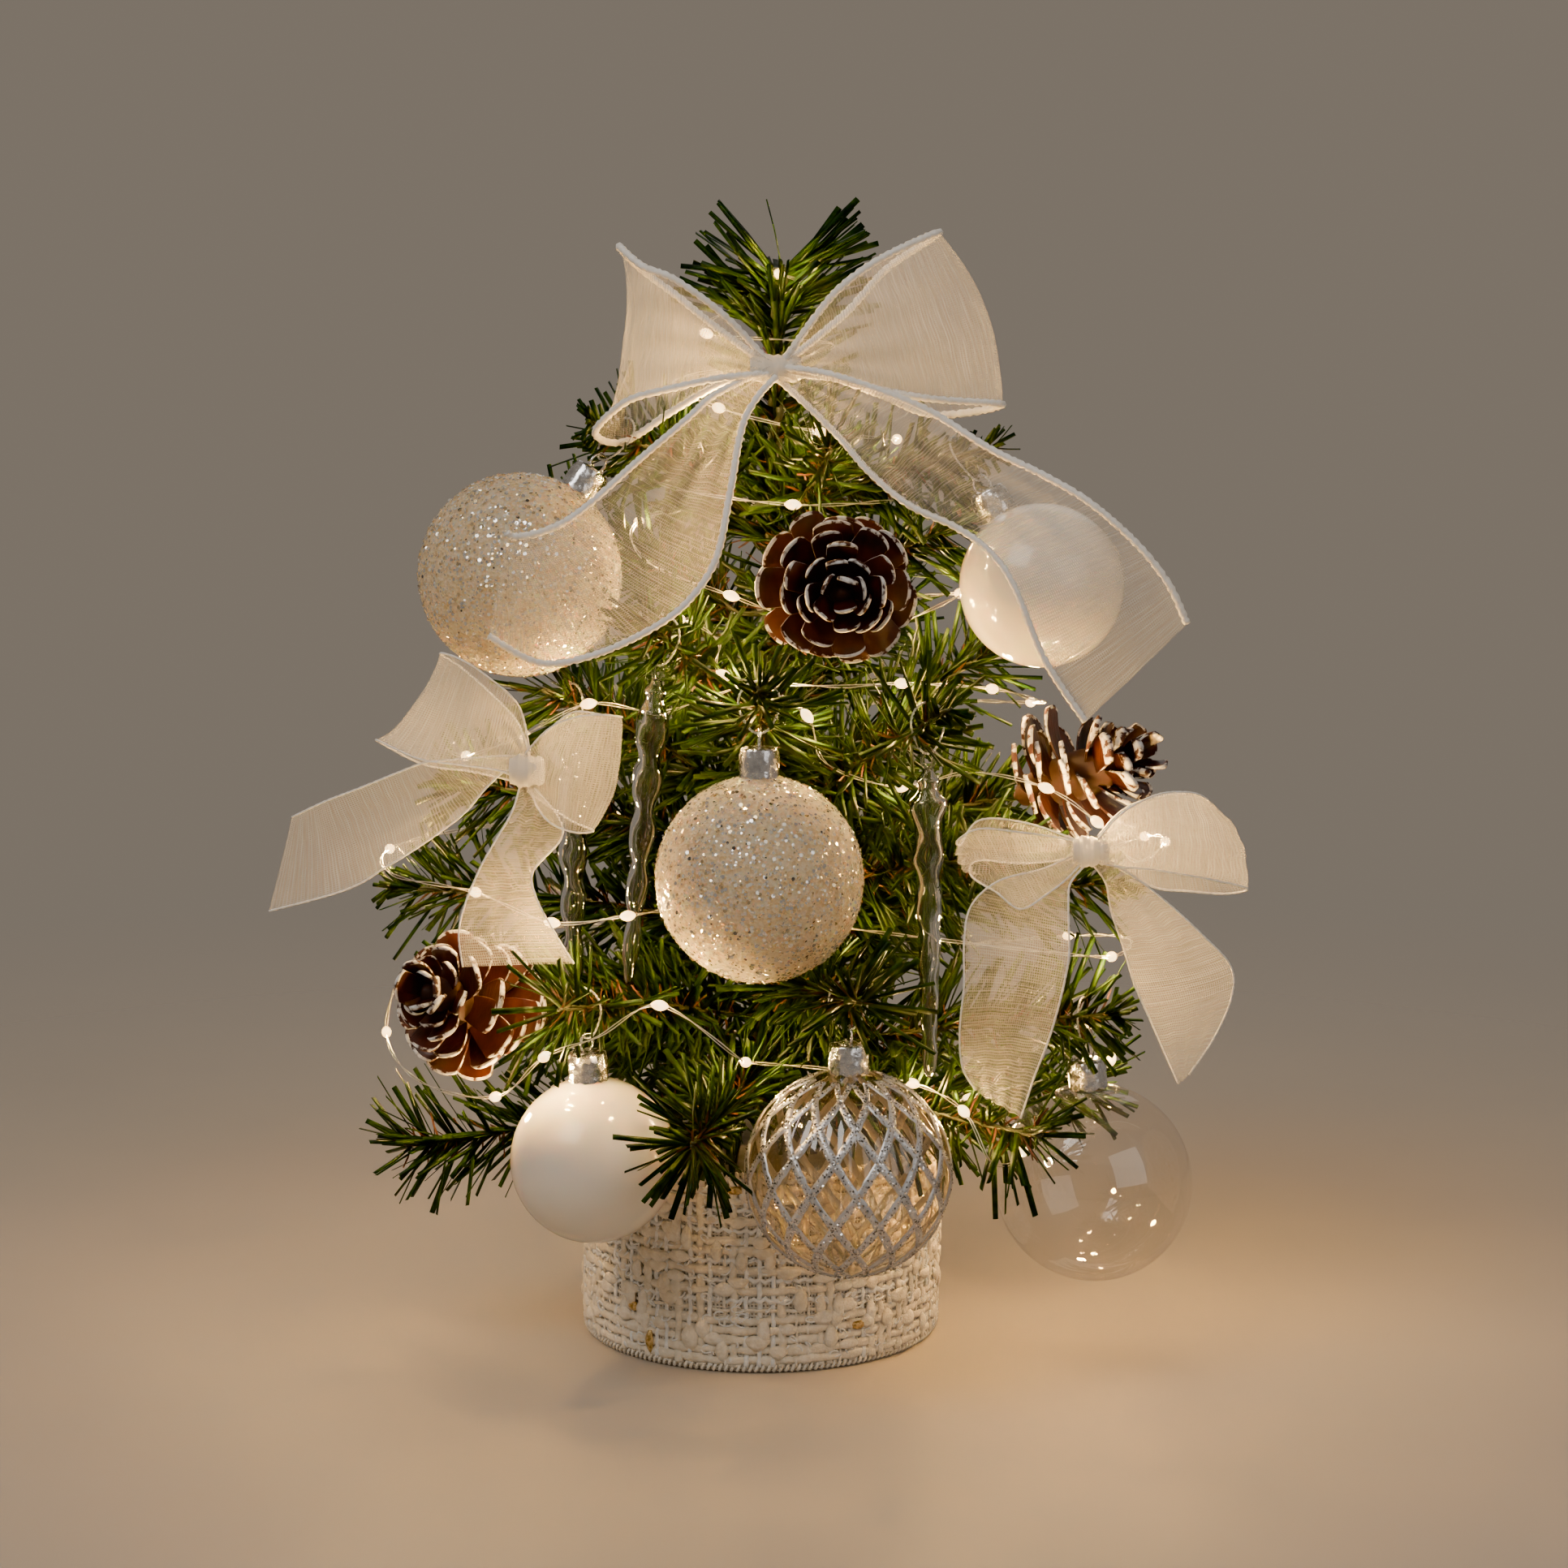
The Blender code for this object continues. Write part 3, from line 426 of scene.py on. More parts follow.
def plastic_look(name, dark, light, grain=900.0, roughness=0.5):
    look = Look(name, Roughness=roughness)
    look.tint(45.0, [(0.3, dark), (0.7, light)], 4.0)
    look.feed(Roughness=look.ramp(look.noise(160.0, 3.0), [(0.3, roughness - 0.1), (0.7, roughness + 0.15)]))
    return look.bump(look.cells(grain), 0.08, 0.6).material


def metal_look(name, dark, light):
    look = Look(name, Metallic=0.9)
    brushed = look.noise(160.0, 4.0, (1.0, 1.0, 30.0))
    look.feed(Base_Color=look.ramp(brushed, [(0.3, dark), (0.7, light)]),
              Roughness=look.ramp(brushed, [(0.3, 0.22), (0.7, 0.42)]))
    return look.bump(brushed, 0.04, 0.5).material


def glow_look():
    look = Look("lamp_glow", Base_Color=colour(1.0, 0.86, 0.62), Roughness=0.15, Emission_Strength=LAMP_GLOW)
    look.feed(Emission_Color=look.ramp(look.noise(420.0), [(0.3, (1.0, 0.74, 0.36)), (0.7, (1.0, 0.52, 0.14))]))
    look.material.cycles.emission_sampling = "NONE"
    return look.material


# ---- the object's places ----------------------------------------------------------------------
LAMP_GLOW = 9.0
LAMP_POWER = 0.50           # watts of each small warm light
BALL_DROP = {30.0: 42.1, 24.5: 36.45}    # pivot to ball centre, for each outer radius
RING_DROP = 1.45
CAP_TOP = -3.75
CAP_LOW = -12.35
BALLS = {
    "bauble_glitter_front": 30.0, "bauble_lattice": 30.0, "bauble_clear": 30.0,
    "bauble_white_low": 24.5, "bauble_glitter_left": 30.0, "bauble_white_right": 24.5,
}
ICICLES = ("icicle_left", "icicle_right", "icicle_inner")
ICICLE_TOP = -4.05
ICICLE_LENGTH = 92.0


def hanging_line(name):
    """Hook, pivot, and the up and sideways directions of a hung piece, in millimetres."""
    pivot = Vector(JOINTS[name + "_swing"]["pos_m"]) / MM
    hook = Vector(JOINTS[name + "_sway"]["pos_m"]) / MM
    up = (hook - pivot).normalized()
    out = Vector((hook.x, hook.y, 0.0)).normalized()
    return hook, pivot, up, out.cross(up).normalized()


def hanging_frame(name):
    """Matrix (millimetres) of a hung piece: origin at its pivot, Z up its line, Y away from the trunk."""
    _, pivot, up, side = hanging_line(name)
    turn = Matrix((side, up.cross(side), up)).transposed().to_4x4()
    return Matrix.Translation(pivot) @ turn


def posed(name, points):
    """Copies of some points of a hung piece, at rest and at the ends of its two joints' ranges."""
    sway, swing = JOINTS[name + "_sway"], JOINTS[name + "_swing"]
    copies = []
    for first in (*sway["range_deg"], 0.0):
        for second in (*swing["range_deg"], 0.0):
            moved = turn_about(points, swing, second)
            copies.append(turn_about(moved, sway, first))
    return copies


def turn_about(points, joint, degrees):
    """Points turned about a joint's axis."""
    centre = Vector(joint["pos_m"]) / MM
    turn = Quaternion(Vector(joint["axis"]), math.radians(degrees))
    return [centre + turn @ (Vector(p) - centre) for p in points]


def centre_line(node):
    """Ring centres of a branch's CAD rod, from one end to the other, in millimetres."""
    places = {tuple(round(c, 6) for c in v.co) for v in NODES[node].data.vertices}
    places = [Vector(p) / MM for p in sorted(places)]
    corner = max(places, key=lambda p: p.xy.length)
    far = max(places, key=lambda p: (p - corner).xy.length)
    axis = far - corner
    axis.z = 0
    axis.normalize()
    places.sort(key=lambda p: p.dot(axis))
    rings = [places[k:k + ROD_SIDES] for k in range(0, len(places), ROD_SIDES)]
    return [sum(ring, Vector()) / len(ring) for ring in rings]


# ---- ribbons --------------------------------------------------------------------------------
# A strip is a list of rows across the ribbon: (one edge, other edge, how far the middle stands out).
# All are places in millimetres.
BOWS = {
    "bow_top": {
        "knot": (5, -54, 301.5), "size": (7.5, 4.8), "width": 50, "edge": 1.15,
        "rests_on": ["branch_17", "branch_18"],
        "strips": [
            [((3, -55, 304), (3, -56, 300), 0), ((-10, -59, 317), (-11, -58, 299), 2),
             ((-24, -61, 327), (-25, -60, 296), 3), ((-34, -58, 331), (-38, -58, 292), 4),
             ((-41, -48, 337), (-48, -48, 283), 8), ((-34, -39, 330), (-40, -38, 280), -3),
             ((-23, -38, 322), (-26, -38, 289), -3), ((-10, -44, 312), (-10, -44, 298), -1),
             ((3, -51, 303), (3, -51, 300), 0)],
            [((8, -55, 304), (8, -56, 300), 0), ((17, -59, 317), (20, -58, 299), 2),
             ((25, -61, 326), (33, -60, 296), 3), ((37, -58, 334), (50, -58, 293), 4),
             ((53, -48, 341), (71, -48, 291), 5), ((38, -37, 331), (52, -37, 288), -3),
             ((27, -39, 319), (35, -39, 294), -3), ((18, -44, 311), (20, -44, 299), -1),
             ((8, -51, 303), (8, -51, 300), 0)],
            [((2, -56, 302), (5, -56, 299), 0), ((-12, -62, 295), (-1, -62, 292), 1),
             ((-20, -67, 288), (-5, -66, 284), 2), ((-34, -74, 276), (-8, -74, 267), 4),
             ((-45, -80, 266), (-12, -80, 248), 5), ((-54, -85, 259), (-20, -84, 236), 5),
             ((-61, -91, 256), (-31, -87, 228), 3), ((-66, -94, 255), (-47, -88, 221), 2),
             ((-69, -95, 255), (-62, -88, 219), 1), ((-70, -96, 256), (-76, -92, 227), 0)],
            [((6, -56, 302), (5, -56, 299), 0), ((20, -60, 300), (15, -60, 290), 1),
             ((36, -64, 295), (24, -63, 281), 3), ((50, -67, 289), (32, -67, 272), 4),
             ((66, -71, 279), (43, -71, 263), 4), ((82, -75, 271), (56, -75, 257), 3),
             ((94, -78, 264), (66, -78, 250), 3), ((107, -79, 253), (73, -80, 240), 3),
             ((117, -78, 241), (82, -79, 219), 3), ((123, -76, 229), (94, -77, 201), 1)],
        ],
    },
    "bow_left": {
        "knot": (-67, -72.5, 186), "size": (5.0, 5.4), "width": 28, "edge": 0.32, "rests_on": ["branch_05"],
        "strips": [
            [((-66, -73, 191), (-68, -72, 182), 0), ((-69, -75, 205), (-74, -74, 186), 2),
             ((-78, -77, 214), (-85, -76, 188), 3), ((-86, -76, 219), (-98, -76, 190), 3),
             ((-92, -71, 220), (-111, -71, 195), 4), ((-86, -65, 215), (-98, -65, 187), -2),
             ((-78, -65, 208), (-85, -65, 185), -2), ((-70, -68, 200), (-74, -68, 183), -1),
             ((-66, -70, 190), (-68, -70, 181), 0)],
            [((-67, -73, 191), (-67, -73, 181), 0), ((-60, -79, 199), (-64, -78, 176), 2),
             ((-52, -85, 203), (-59, -84, 172), 3), ((-44, -88, 204), (-52, -87, 170), 3),
             ((-39, -84, 203), (-47, -83, 170), 3), ((-45, -78, 203), (-54, -77, 172), -2),
             ((-54, -73, 203), (-61, -73, 176), -2), ((-63, -71, 196), (-67, -71, 180), 0)],
            [((-67, -71, 190), (-67, -71, 185), 0), ((-76, -71, 190), (-73, -71, 186), 1),
             ((-88, -71, 189), (-79, -71, 181), 2), ((-97, -70, 188), (-86, -70, 173), 3),
             ((-105, -69, 185), (-98, -69, 164), 3), ((-117, -67, 180), (-109, -67, 157), 3),
             ((-127, -65, 176), (-121, -65, 150), 2), ((-137, -62, 171), (-144.5, -62, 143), 0)],
            [((-69, -74, 182), (-65, -74, 181), 0), ((-71, -78, 175), (-58, -76, 173), 1),
             ((-75, -81, 168), (-57, -79, 167), 2), ((-80, -83, 159), (-65, -80, 158), 2),
             ((-84, -85, 150), (-64, -84, 151), 2), ((-86, -87, 141), (-59, -87, 142), 2),
             ((-85, -87, 131), (-53, -87, 132), 1)],
        ],
    },
    "bow_right": {
        "knot": (96, -77, 163), "size": (5.2, 5.0), "width": 28, "edge": 0.32, "rests_on": ["branch_04"],
        "strips": [
            [((93, -78, 166), (93, -78, 160), 0), ((85, -81, 168), (89, -81, 156), 1),
             ((74, -85, 170), (83, -85, 152), 2), ((63, -86, 171), (75, -88, 148), 3),
             ((57, -83, 167), (68, -86, 153), 4), ((58, -78, 165), (62, -79, 157), -2),
             ((64, -75, 172), (64, -75, 160), -2), ((78, -74, 171), (77, -74, 159), -1),
             ((93, -76, 166), (93, -76, 161), 0)],
            [((98, -79, 167), (98, -79, 160), 0), ((105, -80, 175), (104, -80, 159), 2),
             ((115, -79, 180), (114, -79, 158), 3), ((125, -75, 180), (129, -75, 155), 4),
             ((131, -68, 177), (143, -68, 151), 4), ((127, -61, 178), (138, -61, 148), -3),
             ((117, -62, 177), (126, -62, 149), -3), ((107, -66, 174), (115, -66, 151), -2),
             ((99, -73, 167), (102, -73, 159), 0)],
            [((93, -78, 163), (95, -78, 160), 0), ((82, -82, 159), (90, -82, 155), 1),
             ((69, -86, 156), (89, -86, 151), 3), ((61, -88, 149), (89, -88, 143), 4),
             ((59, -89, 139), (89, -89, 134), 4), ((59, -89, 126), (87, -89, 123), 4),
             ((58, -87, 112), (84, -87, 111), 3), ((59, -85, 101), (80, -85, 99), 2),
             ((63, -84, 94), (76, -84, 86), 0)],
            [((99, -78, 162), (97, -78, 159), 0), ((107, -76, 157), (101, -76, 153), 1),
             ((117, -72, 149), (103, -72, 144), 2), ((129, -68, 138), (107, -68, 133), 3),
             ((139, -63, 127), (111, -63, 121), 3), ((140, -60, 117), (116, -60, 110), 2),
             ((135, -58, 104), (121, -58, 99), 1), ((128, -58, 93), (125, -58, 90), 0)],
        ],
    },
}
ROWS_BETWEEN = 7
ACROSS = 17


def ribbon_strip(shape, edges, rows, pleat, edge_radius):
    """One length of ribbon through its rows, gathered into pleats where it is narrow. Returns its flat area."""
    values = [(Vector(a), Vector(b), out) for a, b, out in rows]
    stations = []
    for k in range(len(values) - 1):
        near = [values[min(max(k + j, 0), len(values) - 1)] for j in (-1, 0, 1, 2)]
        for i in range(ROWS_BETWEEN):
            t = i / ROWS_BETWEEN
            stations.append(tuple(spline(*(v[j] for v in near), t) for j in range(3)))
    stations.append(values[-1])
    full = max((b - a).length for a, b, _ in stations)
    points, across = [], []
    run_length = 0.0
    sides = ([], [])
    for k, (a, b, out) in enumerate(stations):
        low, high = stations[max(k - 1, 0)], stations[min(k + 1, len(stations) - 1)]
        run = (high[0] + high[1]) - (low[0] + low[1])
        width = b - a
        face = run.cross(width).normalized()
        if k:
            run_length += ((a + b) / 2 - (stations[k - 1][0] + stations[k - 1][1]) / 2).length
        slack = max(0.0, 1.0 - width.length / full)
        for j in range(ACROSS):
            t = j / (ACROSS - 1)
            fold = math.sin(2 * math.pi * 3.5 * t + 0.6) * pleat * slack ** 0.9
            fold += 0.7 * noise.noise((a + width * t) * 0.07)
            points.append(a + width * t - face * (out * 4 * t * (1 - t) + fold))
            across.append((t * full, run_length))
        sides[0].append(points[-ACROSS])
        sides[1].append(points[-1])
    shape.add(points, grid_faces(len(stations), ACROSS), 0, across)
    for side in sides:
        edge_cord(edges, side, edge_radius)
    return full * run_length


def edge_cord(shape, line, radius):
    """The worked edge of a ribbon: a row of small bumps."""
    path = smooth_path(line, 0.95)
    bumps = [radius * (0.68 + 0.42 * abs(math.sin(1.22 * k))) for k in range(len(path))]
    tube(shape, path, bumps, 6)


def knot_shape(middle, size):
    """A band of ribbon wound tightly round the middle, with its folds running round it."""
    shape = Shape()
    half, radius = size
    rows = 25
    outline = []
    for k in range(rows):
        t = -1 + 2 * k / (rows - 1)
        ridge = 0.28 * math.sin(11.0 * t) + 0.15 * math.sin(23.0 * t)
        outline.append((radius * (0.72 + 0.28 * (1 - t * t)) + ridge, t * half))
    outline = [(0.01, -half * 0.96)] + outline + [(0.01, half * 0.96)]
    place = Matrix.Translation(middle) @ Matrix.Rotation(math.radians(90), 4, "Y")

    def folds(a, row):
        return 1.0 + 0.07 * math.sin(2 * a + 0.3 * row) - 0.12 * math.cos(a) ** 2

    turned(shape, outline, 32, place, 0, folds)
    return shape


def make_bows():
    """The three bows. Returns their cloth, which needles stop short of."""
    solids = Shape()
    for name, bow in BOWS.items():
        cloth, edges = Shape(), Shape()
        big = name == "bow_top"
        area = sum(ribbon_strip(cloth, edges, rows, 3.0 if big else 1.8, bow["edge"]) for rows in bow["strips"])
        looks = LOOKS["organza_wide" if big else "organza_narrow"]
        knot = make(name + "_knot", knot_shape(Vector(bow["knot"]), bow["size"]), [LOOKS["organza_knot"]], "tree")
        hem = make(name + "_edges", edges, [LOOKS["edge_cord"]], "tree")
        ribbon = make(name + "_ribbon", cloth, [looks], "tree", [name])
        solids.add(cloth.points, cloth.faces)
    return solids


# ---- hung ornaments -------------------------------------------------------------------------
def shell_outline(radius, top, neck=4.9, rows=44):
    """Outline of a ball about its centre, from the bottom pole up into its neck."""
    start = math.asin(neck / radius)
    angles = [math.pi - 0.002 - (math.pi - start) * k / rows for k in range(rows)]
    outline = [(radius * math.sin(a), radius * math.cos(a)) for a in angles]
    base = radius * math.cos(start)
    return outline + [(neck + 0.5, base + 0.05), (neck, base + 0.6), (neck, top)]


def eye_ring(shape, place, wire):
    """The ring that a hanger loop goes through."""
    ring = [place @ Vector((0, y, z - RING_DROP)) for z, y in circle(2.8, 28)]
    tube(shape, ring, wire, 8, 0, cyclic=True)


def foil_cap(shape, place, seed):
    """Crumpled foil cap with a petalled skirt, and its wire ring."""
    draw = random.Random(seed)
    wobble = [draw.uniform(-1, 1) for _ in range(400)]
    sides, rows = 56, 16
    points = []
    for i in range(rows):
        t = i / (rows - 1)
        for j in range(sides):
            a = 2 * math.pi * j / sides
            if t < 0.25:
                radius, height = 5.3 * t / 0.25, CAP_TOP - 0.25 * t
            else:
                share = (t - 0.25) / 0.75
                radius = 5.3 + 0.55 * min(1.0, share * 3)
                height = CAP_TOP - 0.2 - share * (CAP_TOP - CAP_LOW - 0.6)
                height -= share ** 3 * 0.9 * abs(math.sin(3.5 * a))
                radius += 0.16 * share * math.cos(7 * a)
            crease = noise.noise(Vector((6 * math.cos(a), 6 * math.sin(a), 9 * t + seed)) * 0.55)
            radius += (0.30 * crease + 0.02 * wobble[(i * 13 + j) % 400]) * min(1.0, t * 3)
            points.append(place @ Vector((radius * math.cos(a), radius * math.sin(a), height)))
    shape.add(points, grid_faces(rows, sides, wrap_columns=True))
    eye_ring(shape, place, 0.48)


def glitter_flakes(shape, place, centre, radius, count, seed):
    """Loose flat sequins, each tipped its own way, over the whole ball."""
    draw = random.Random(seed)
    for _ in range(count):
        normal = any_way(draw).normalized()
        if normal.z > 0.972:
            continue
        tip = (normal + any_way(draw) * 0.26).normalized()
        side = tip.orthogonal().normalized()
        side = Quaternion(tip, draw.uniform(0, 6.28)) @ side
        other = tip.cross(side)
        size = draw.choice((0.28, 0.36, 0.46, 0.62))
        middle = centre + normal * (radius + draw.uniform(0.02, 0.22))
        ring = [middle + side * x + other * y for x, y in circle(size, 6)]
        shape.add([place @ p for p in ring], [tuple(range(6))], draw.choices((1, 2, 3, 4), (16, 10, 1, 5))[0])


def make_bauble(name):
    """A ball of its own kind and its foil cap."""
    place = hanging_frame(name)
    radius = BALLS[name]
    centre = Vector((0, 0, -BALL_DROP[radius]))
    top = CAP_TOP - 0.7 - centre.z
    ball = Matrix.Translation(centre)
    shape = Shape()
    kind = name.replace("bauble_", "")
    if kind.startswith("glitter"):
        turned(shape, shell_outline(radius, top), 72, place @ ball)
        glitter_flakes(shape, place, centre, radius, 6500, len(name))
        looks = [LOOKS[k] for k in ("frosted", "flake_pearl", "flake_silver", "flake_dark", "flake_gold")]
        slot = "glitter_glass"
    elif kind.startswith("white"):
        turned(shape, shell_outline(radius, top), 72, place @ ball)
        looks, slot = [LOOKS["opal"]], "opal_glass"
    elif kind == "clear":
        turned(shape, shell_outline(radius, top, rows=60), 96, place @ ball)
        for k, height in enumerate((0.965, 0.955, 0.945)):
            ring = radius * height
            wide = math.sqrt(radius ** 2 - ring ** 2)
            path = [place @ (centre + Vector((x, y, ring + 0.05))) for x, y in circle(wide, 48)]
            tube(shape, path, 0.22, 6, 0, cyclic=True)
        looks, slot = [LOOKS["clear_glass"]], "clear_glass"
    else:
        ribs = 36

        def ribbed(a, row):
            fade = min(1.0, row / 6) * min(1.0, (46 - row) / 8)
            return 1.0 - 0.020 * (1 - abs(math.cos(ribs * a / 2)) ** 0.6) * fade

        turned(shape, shell_outline(radius, top), 216, place @ ball, 0, ribbed)
        lattice_bands(shape, place, centre, radius)
        looks = [LOOKS["amber_glass"], LOOKS["lattice_glitter"], LOOKS["flake_silver"], LOOKS["flake_dark"]]
        slot = "lattice_glass"
    make(name + "_ball", shape, looks, name, [name])
    cap = Shape()
    foil_cap(cap, place, len(name) + radius)
    make(name.replace("bauble", "cap") + "_foil", cap, [LOOKS["foil"]], name, [name.replace("bauble", "cap")])


LATTICE_COUNT = 14
LATTICE_LEAN = math.radians(18.5)     # latitude covered while a band moves on by half a diamond


def lattice_bands(shape, place, centre, radius):
    """Raised glitter bands that cross as diamonds, round the ball both ways."""
    draw = random.Random(5)
    for way in (-1, 1):
        for k in range(LATTICE_COUNT):
            path = []
            for i in range(53):
                latitude = math.radians(-76 + 146 * i / 52)
                turn = 2 * math.pi * k / LATTICE_COUNT + way * math.pi / LATTICE_COUNT * latitude / LATTICE_LEAN
                flat = math.cos(latitude)
                normal = Vector((flat * math.cos(turn), flat * math.sin(turn), math.sin(latitude)))
                path.append((normal, math.radians(90) - abs(latitude)))
            points = []
            for i, (normal, room) in enumerate(path):
                ahead = path[min(i + 1, 52)][0] - path[max(i - 1, 0)][0]
                side = normal.cross(ahead).normalized()
                half = 1.25 * min(1.0, 0.35 + 0.65 * room / 0.9) * draw.uniform(0.84, 1.14)
                low, high = radius - 0.15, radius + 0.32 + draw.uniform(-0.06, 0.10)
                for offset, height in ((-half, low), (-half * 0.6, high), (half * 0.6, high), (half, low)):
                    points.append(place @ (centre + normal * height + side * offset))
                for _ in range(7):
                    along = draw.uniform(-0.7, 0.7)
                    middle = normal * (radius + 0.42) + side * draw.uniform(-0.8, 0.8) * half
                    middle += ahead * along * radius / 2
                    tip = (normal + any_way(draw) * 0.3).normalized()
                    across = tip.orthogonal().normalized()
                    other = tip.cross(across)
                    size = draw.choice((0.18, 0.26, 0.34))
                    ring = [place @ (centre + middle + across * x + other * y) for x, y in circle(size, 5)]
                    shape.add(ring, [tuple(range(5))], draw.choices((2, 3), (6, 4))[0])
            shape.add(points, grid_faces(len(path), 4), 1)


def make_icicle(name):
    """A pulled and twisted acrylic icicle with an eye on top."""
    place = hanging_frame(name)
    shape = Shape()
    rows, sides = 150, 28
    draw = random.Random(len(name))
    phase = draw.uniform(0, 6.28)
    points = []
    for i in range(rows):
        t = i / (rows - 1)
        girth = 0.30 + 0.70 * min(1.0, max(0.0, t - 0.03) / 0.07)
        bead = 0.35 * math.exp(-((t - 0.035) / 0.018) ** 2)
        taper = 1.0 - 0.62 * t
        tip = min(1.0, (1.0 - t) / 0.035) ** 0.5
        lumps = 1.0 + 0.08 * math.sin(34 * t + phase) + 0.04 * math.sin(71 * t + 2 * phase)
        for j in range(sides):
            a = 2 * math.pi * j / sides
            twist = 19.0 * t ** 0.9 + phase
            lobes = 1.0 + 0.11 * math.cos(2 * (a - twist)) + 0.03 * math.cos(3 * (a + twist * 0.7))
            r = 4.95 * (girth * taper * lumps * (lobes if t > 0.09 else 1.0) + bead) * tip
            height = ICICLE_TOP - 0.3 - ICICLE_LENGTH * t * 0.99
            points.append(place @ Vector((r * math.cos(a), r * math.sin(a), height)))
    faces = grid_faces(rows, sides, wrap_columns=True)
    shape.add(points, faces + end_caps(sides, len(points)))
    eye_ring(shape, place, 0.7)
    make(name + "_twist", shape, [LOOKS["acrylic"]], name, [name])


LOOP_TWISTS = 16             # turns of the two strands in one hanger loop


def make_hanger(name):
    """Two silver strands twisted together, in the loop that the CAD hanger has."""
    node = name.replace("bauble", "hanger").replace("icicle", "icicle_hanger")
    hook, _, up, side = hanging_line(name)
    wide, low = 6.05, -9.0
    corners = [(wide * math.sin(a), wide * math.cos(a)) for a in (-1.7, -0.85, 0.0, 0.85, 1.7)]
    corners += [(wide * 0.55, low * 0.78), (0, low), (-wide * 0.55, low * 0.78)]
    corners = [hook + side * x + up * z for x, z in corners]
    count = len(corners)
    path = []
    for k in range(count):
        near = [corners[(k + j) % count] for j in (-1, 0, 1, 2)]
        path += [spline(*near, i / 12) for i in range(12)]
    shape = Shape()
    twisted_pair(shape, path, 0.2, 0.2, 5, 2 * math.pi * LOOP_TWISTS / len(path), cyclic=True)
    make(name + "_thread", shape, [LOOKS["thread"]], name + "_loop", [node])


# ---- pinecones ------------------------------------------------------------------------------
# name: (middle of the cone, direction its tip points, seed)
CONES = {
    "pinecone_front": ((23, -73, 239), (0.04, -1.0, 0.0), 3),
    "pinecone_right": ((99, -36, 181), (0.86, -0.34, 0.36), 4),
    "pinecone_left": ((-91, -56, 115), (-0.42, -0.80, 0.34), 5),
}
CONE_HALF = 25.0
CONE_RADIUS = 24.9
SCALES = 46
GOLDEN = math.pi * (3 - math.sqrt(5))


def make_cone(name, middle, points_to, seed):
    """Woody scales on a spiral round a core, each with a painted rim."""
    draw = random.Random(seed)
    turn = Vector(points_to).to_track_quat("Z", "Y").to_matrix().to_4x4()
    place = Matrix.Translation(Vector(middle)) @ turn
    shape = Shape()
    core = [(0.1, -CONE_HALF)]
    for k in range(9):
        core.append((6.5 * math.sin(math.pi * (k + 0.5) / 9) ** 0.6 + 1.0, -CONE_HALF + 4.6 * (k + 0.5)))
    turned(shape, core + [(0.1, CONE_HALF - 8)], 16, place, 2)
    for k in range(SCALES):
        t = (k + 0.5) / SCALES
        height = -CONE_HALF + 5.0 + (2 * CONE_HALF - 17.0) * t
        below, above = max(0.0, 0.35 - t) / 0.35, max(0.0, t - 0.35) / 0.65
        rim = CONE_RADIUS * (1.0 - 0.10 * below - 0.74 * above ** 1.15)
        lift = math.radians(-4 + 58 * t ** 2.0 + draw.uniform(-13, 13))
        a = GOLDEN * k + draw.uniform(-0.2, 0.2)
        pine_scale(shape, place, a, height, rim * draw.uniform(0.84, 1.0), lift, draw, t)
    make(name + "_scales", shape, [LOOKS["scale"], LOOKS["painted_edge"], LOOKS["cone_core"]], "tree", [name])


ALONG = (0.0, 0.18, 0.36, 0.54, 0.70, 0.82, 0.90, 0.95, 0.98, 1.0)


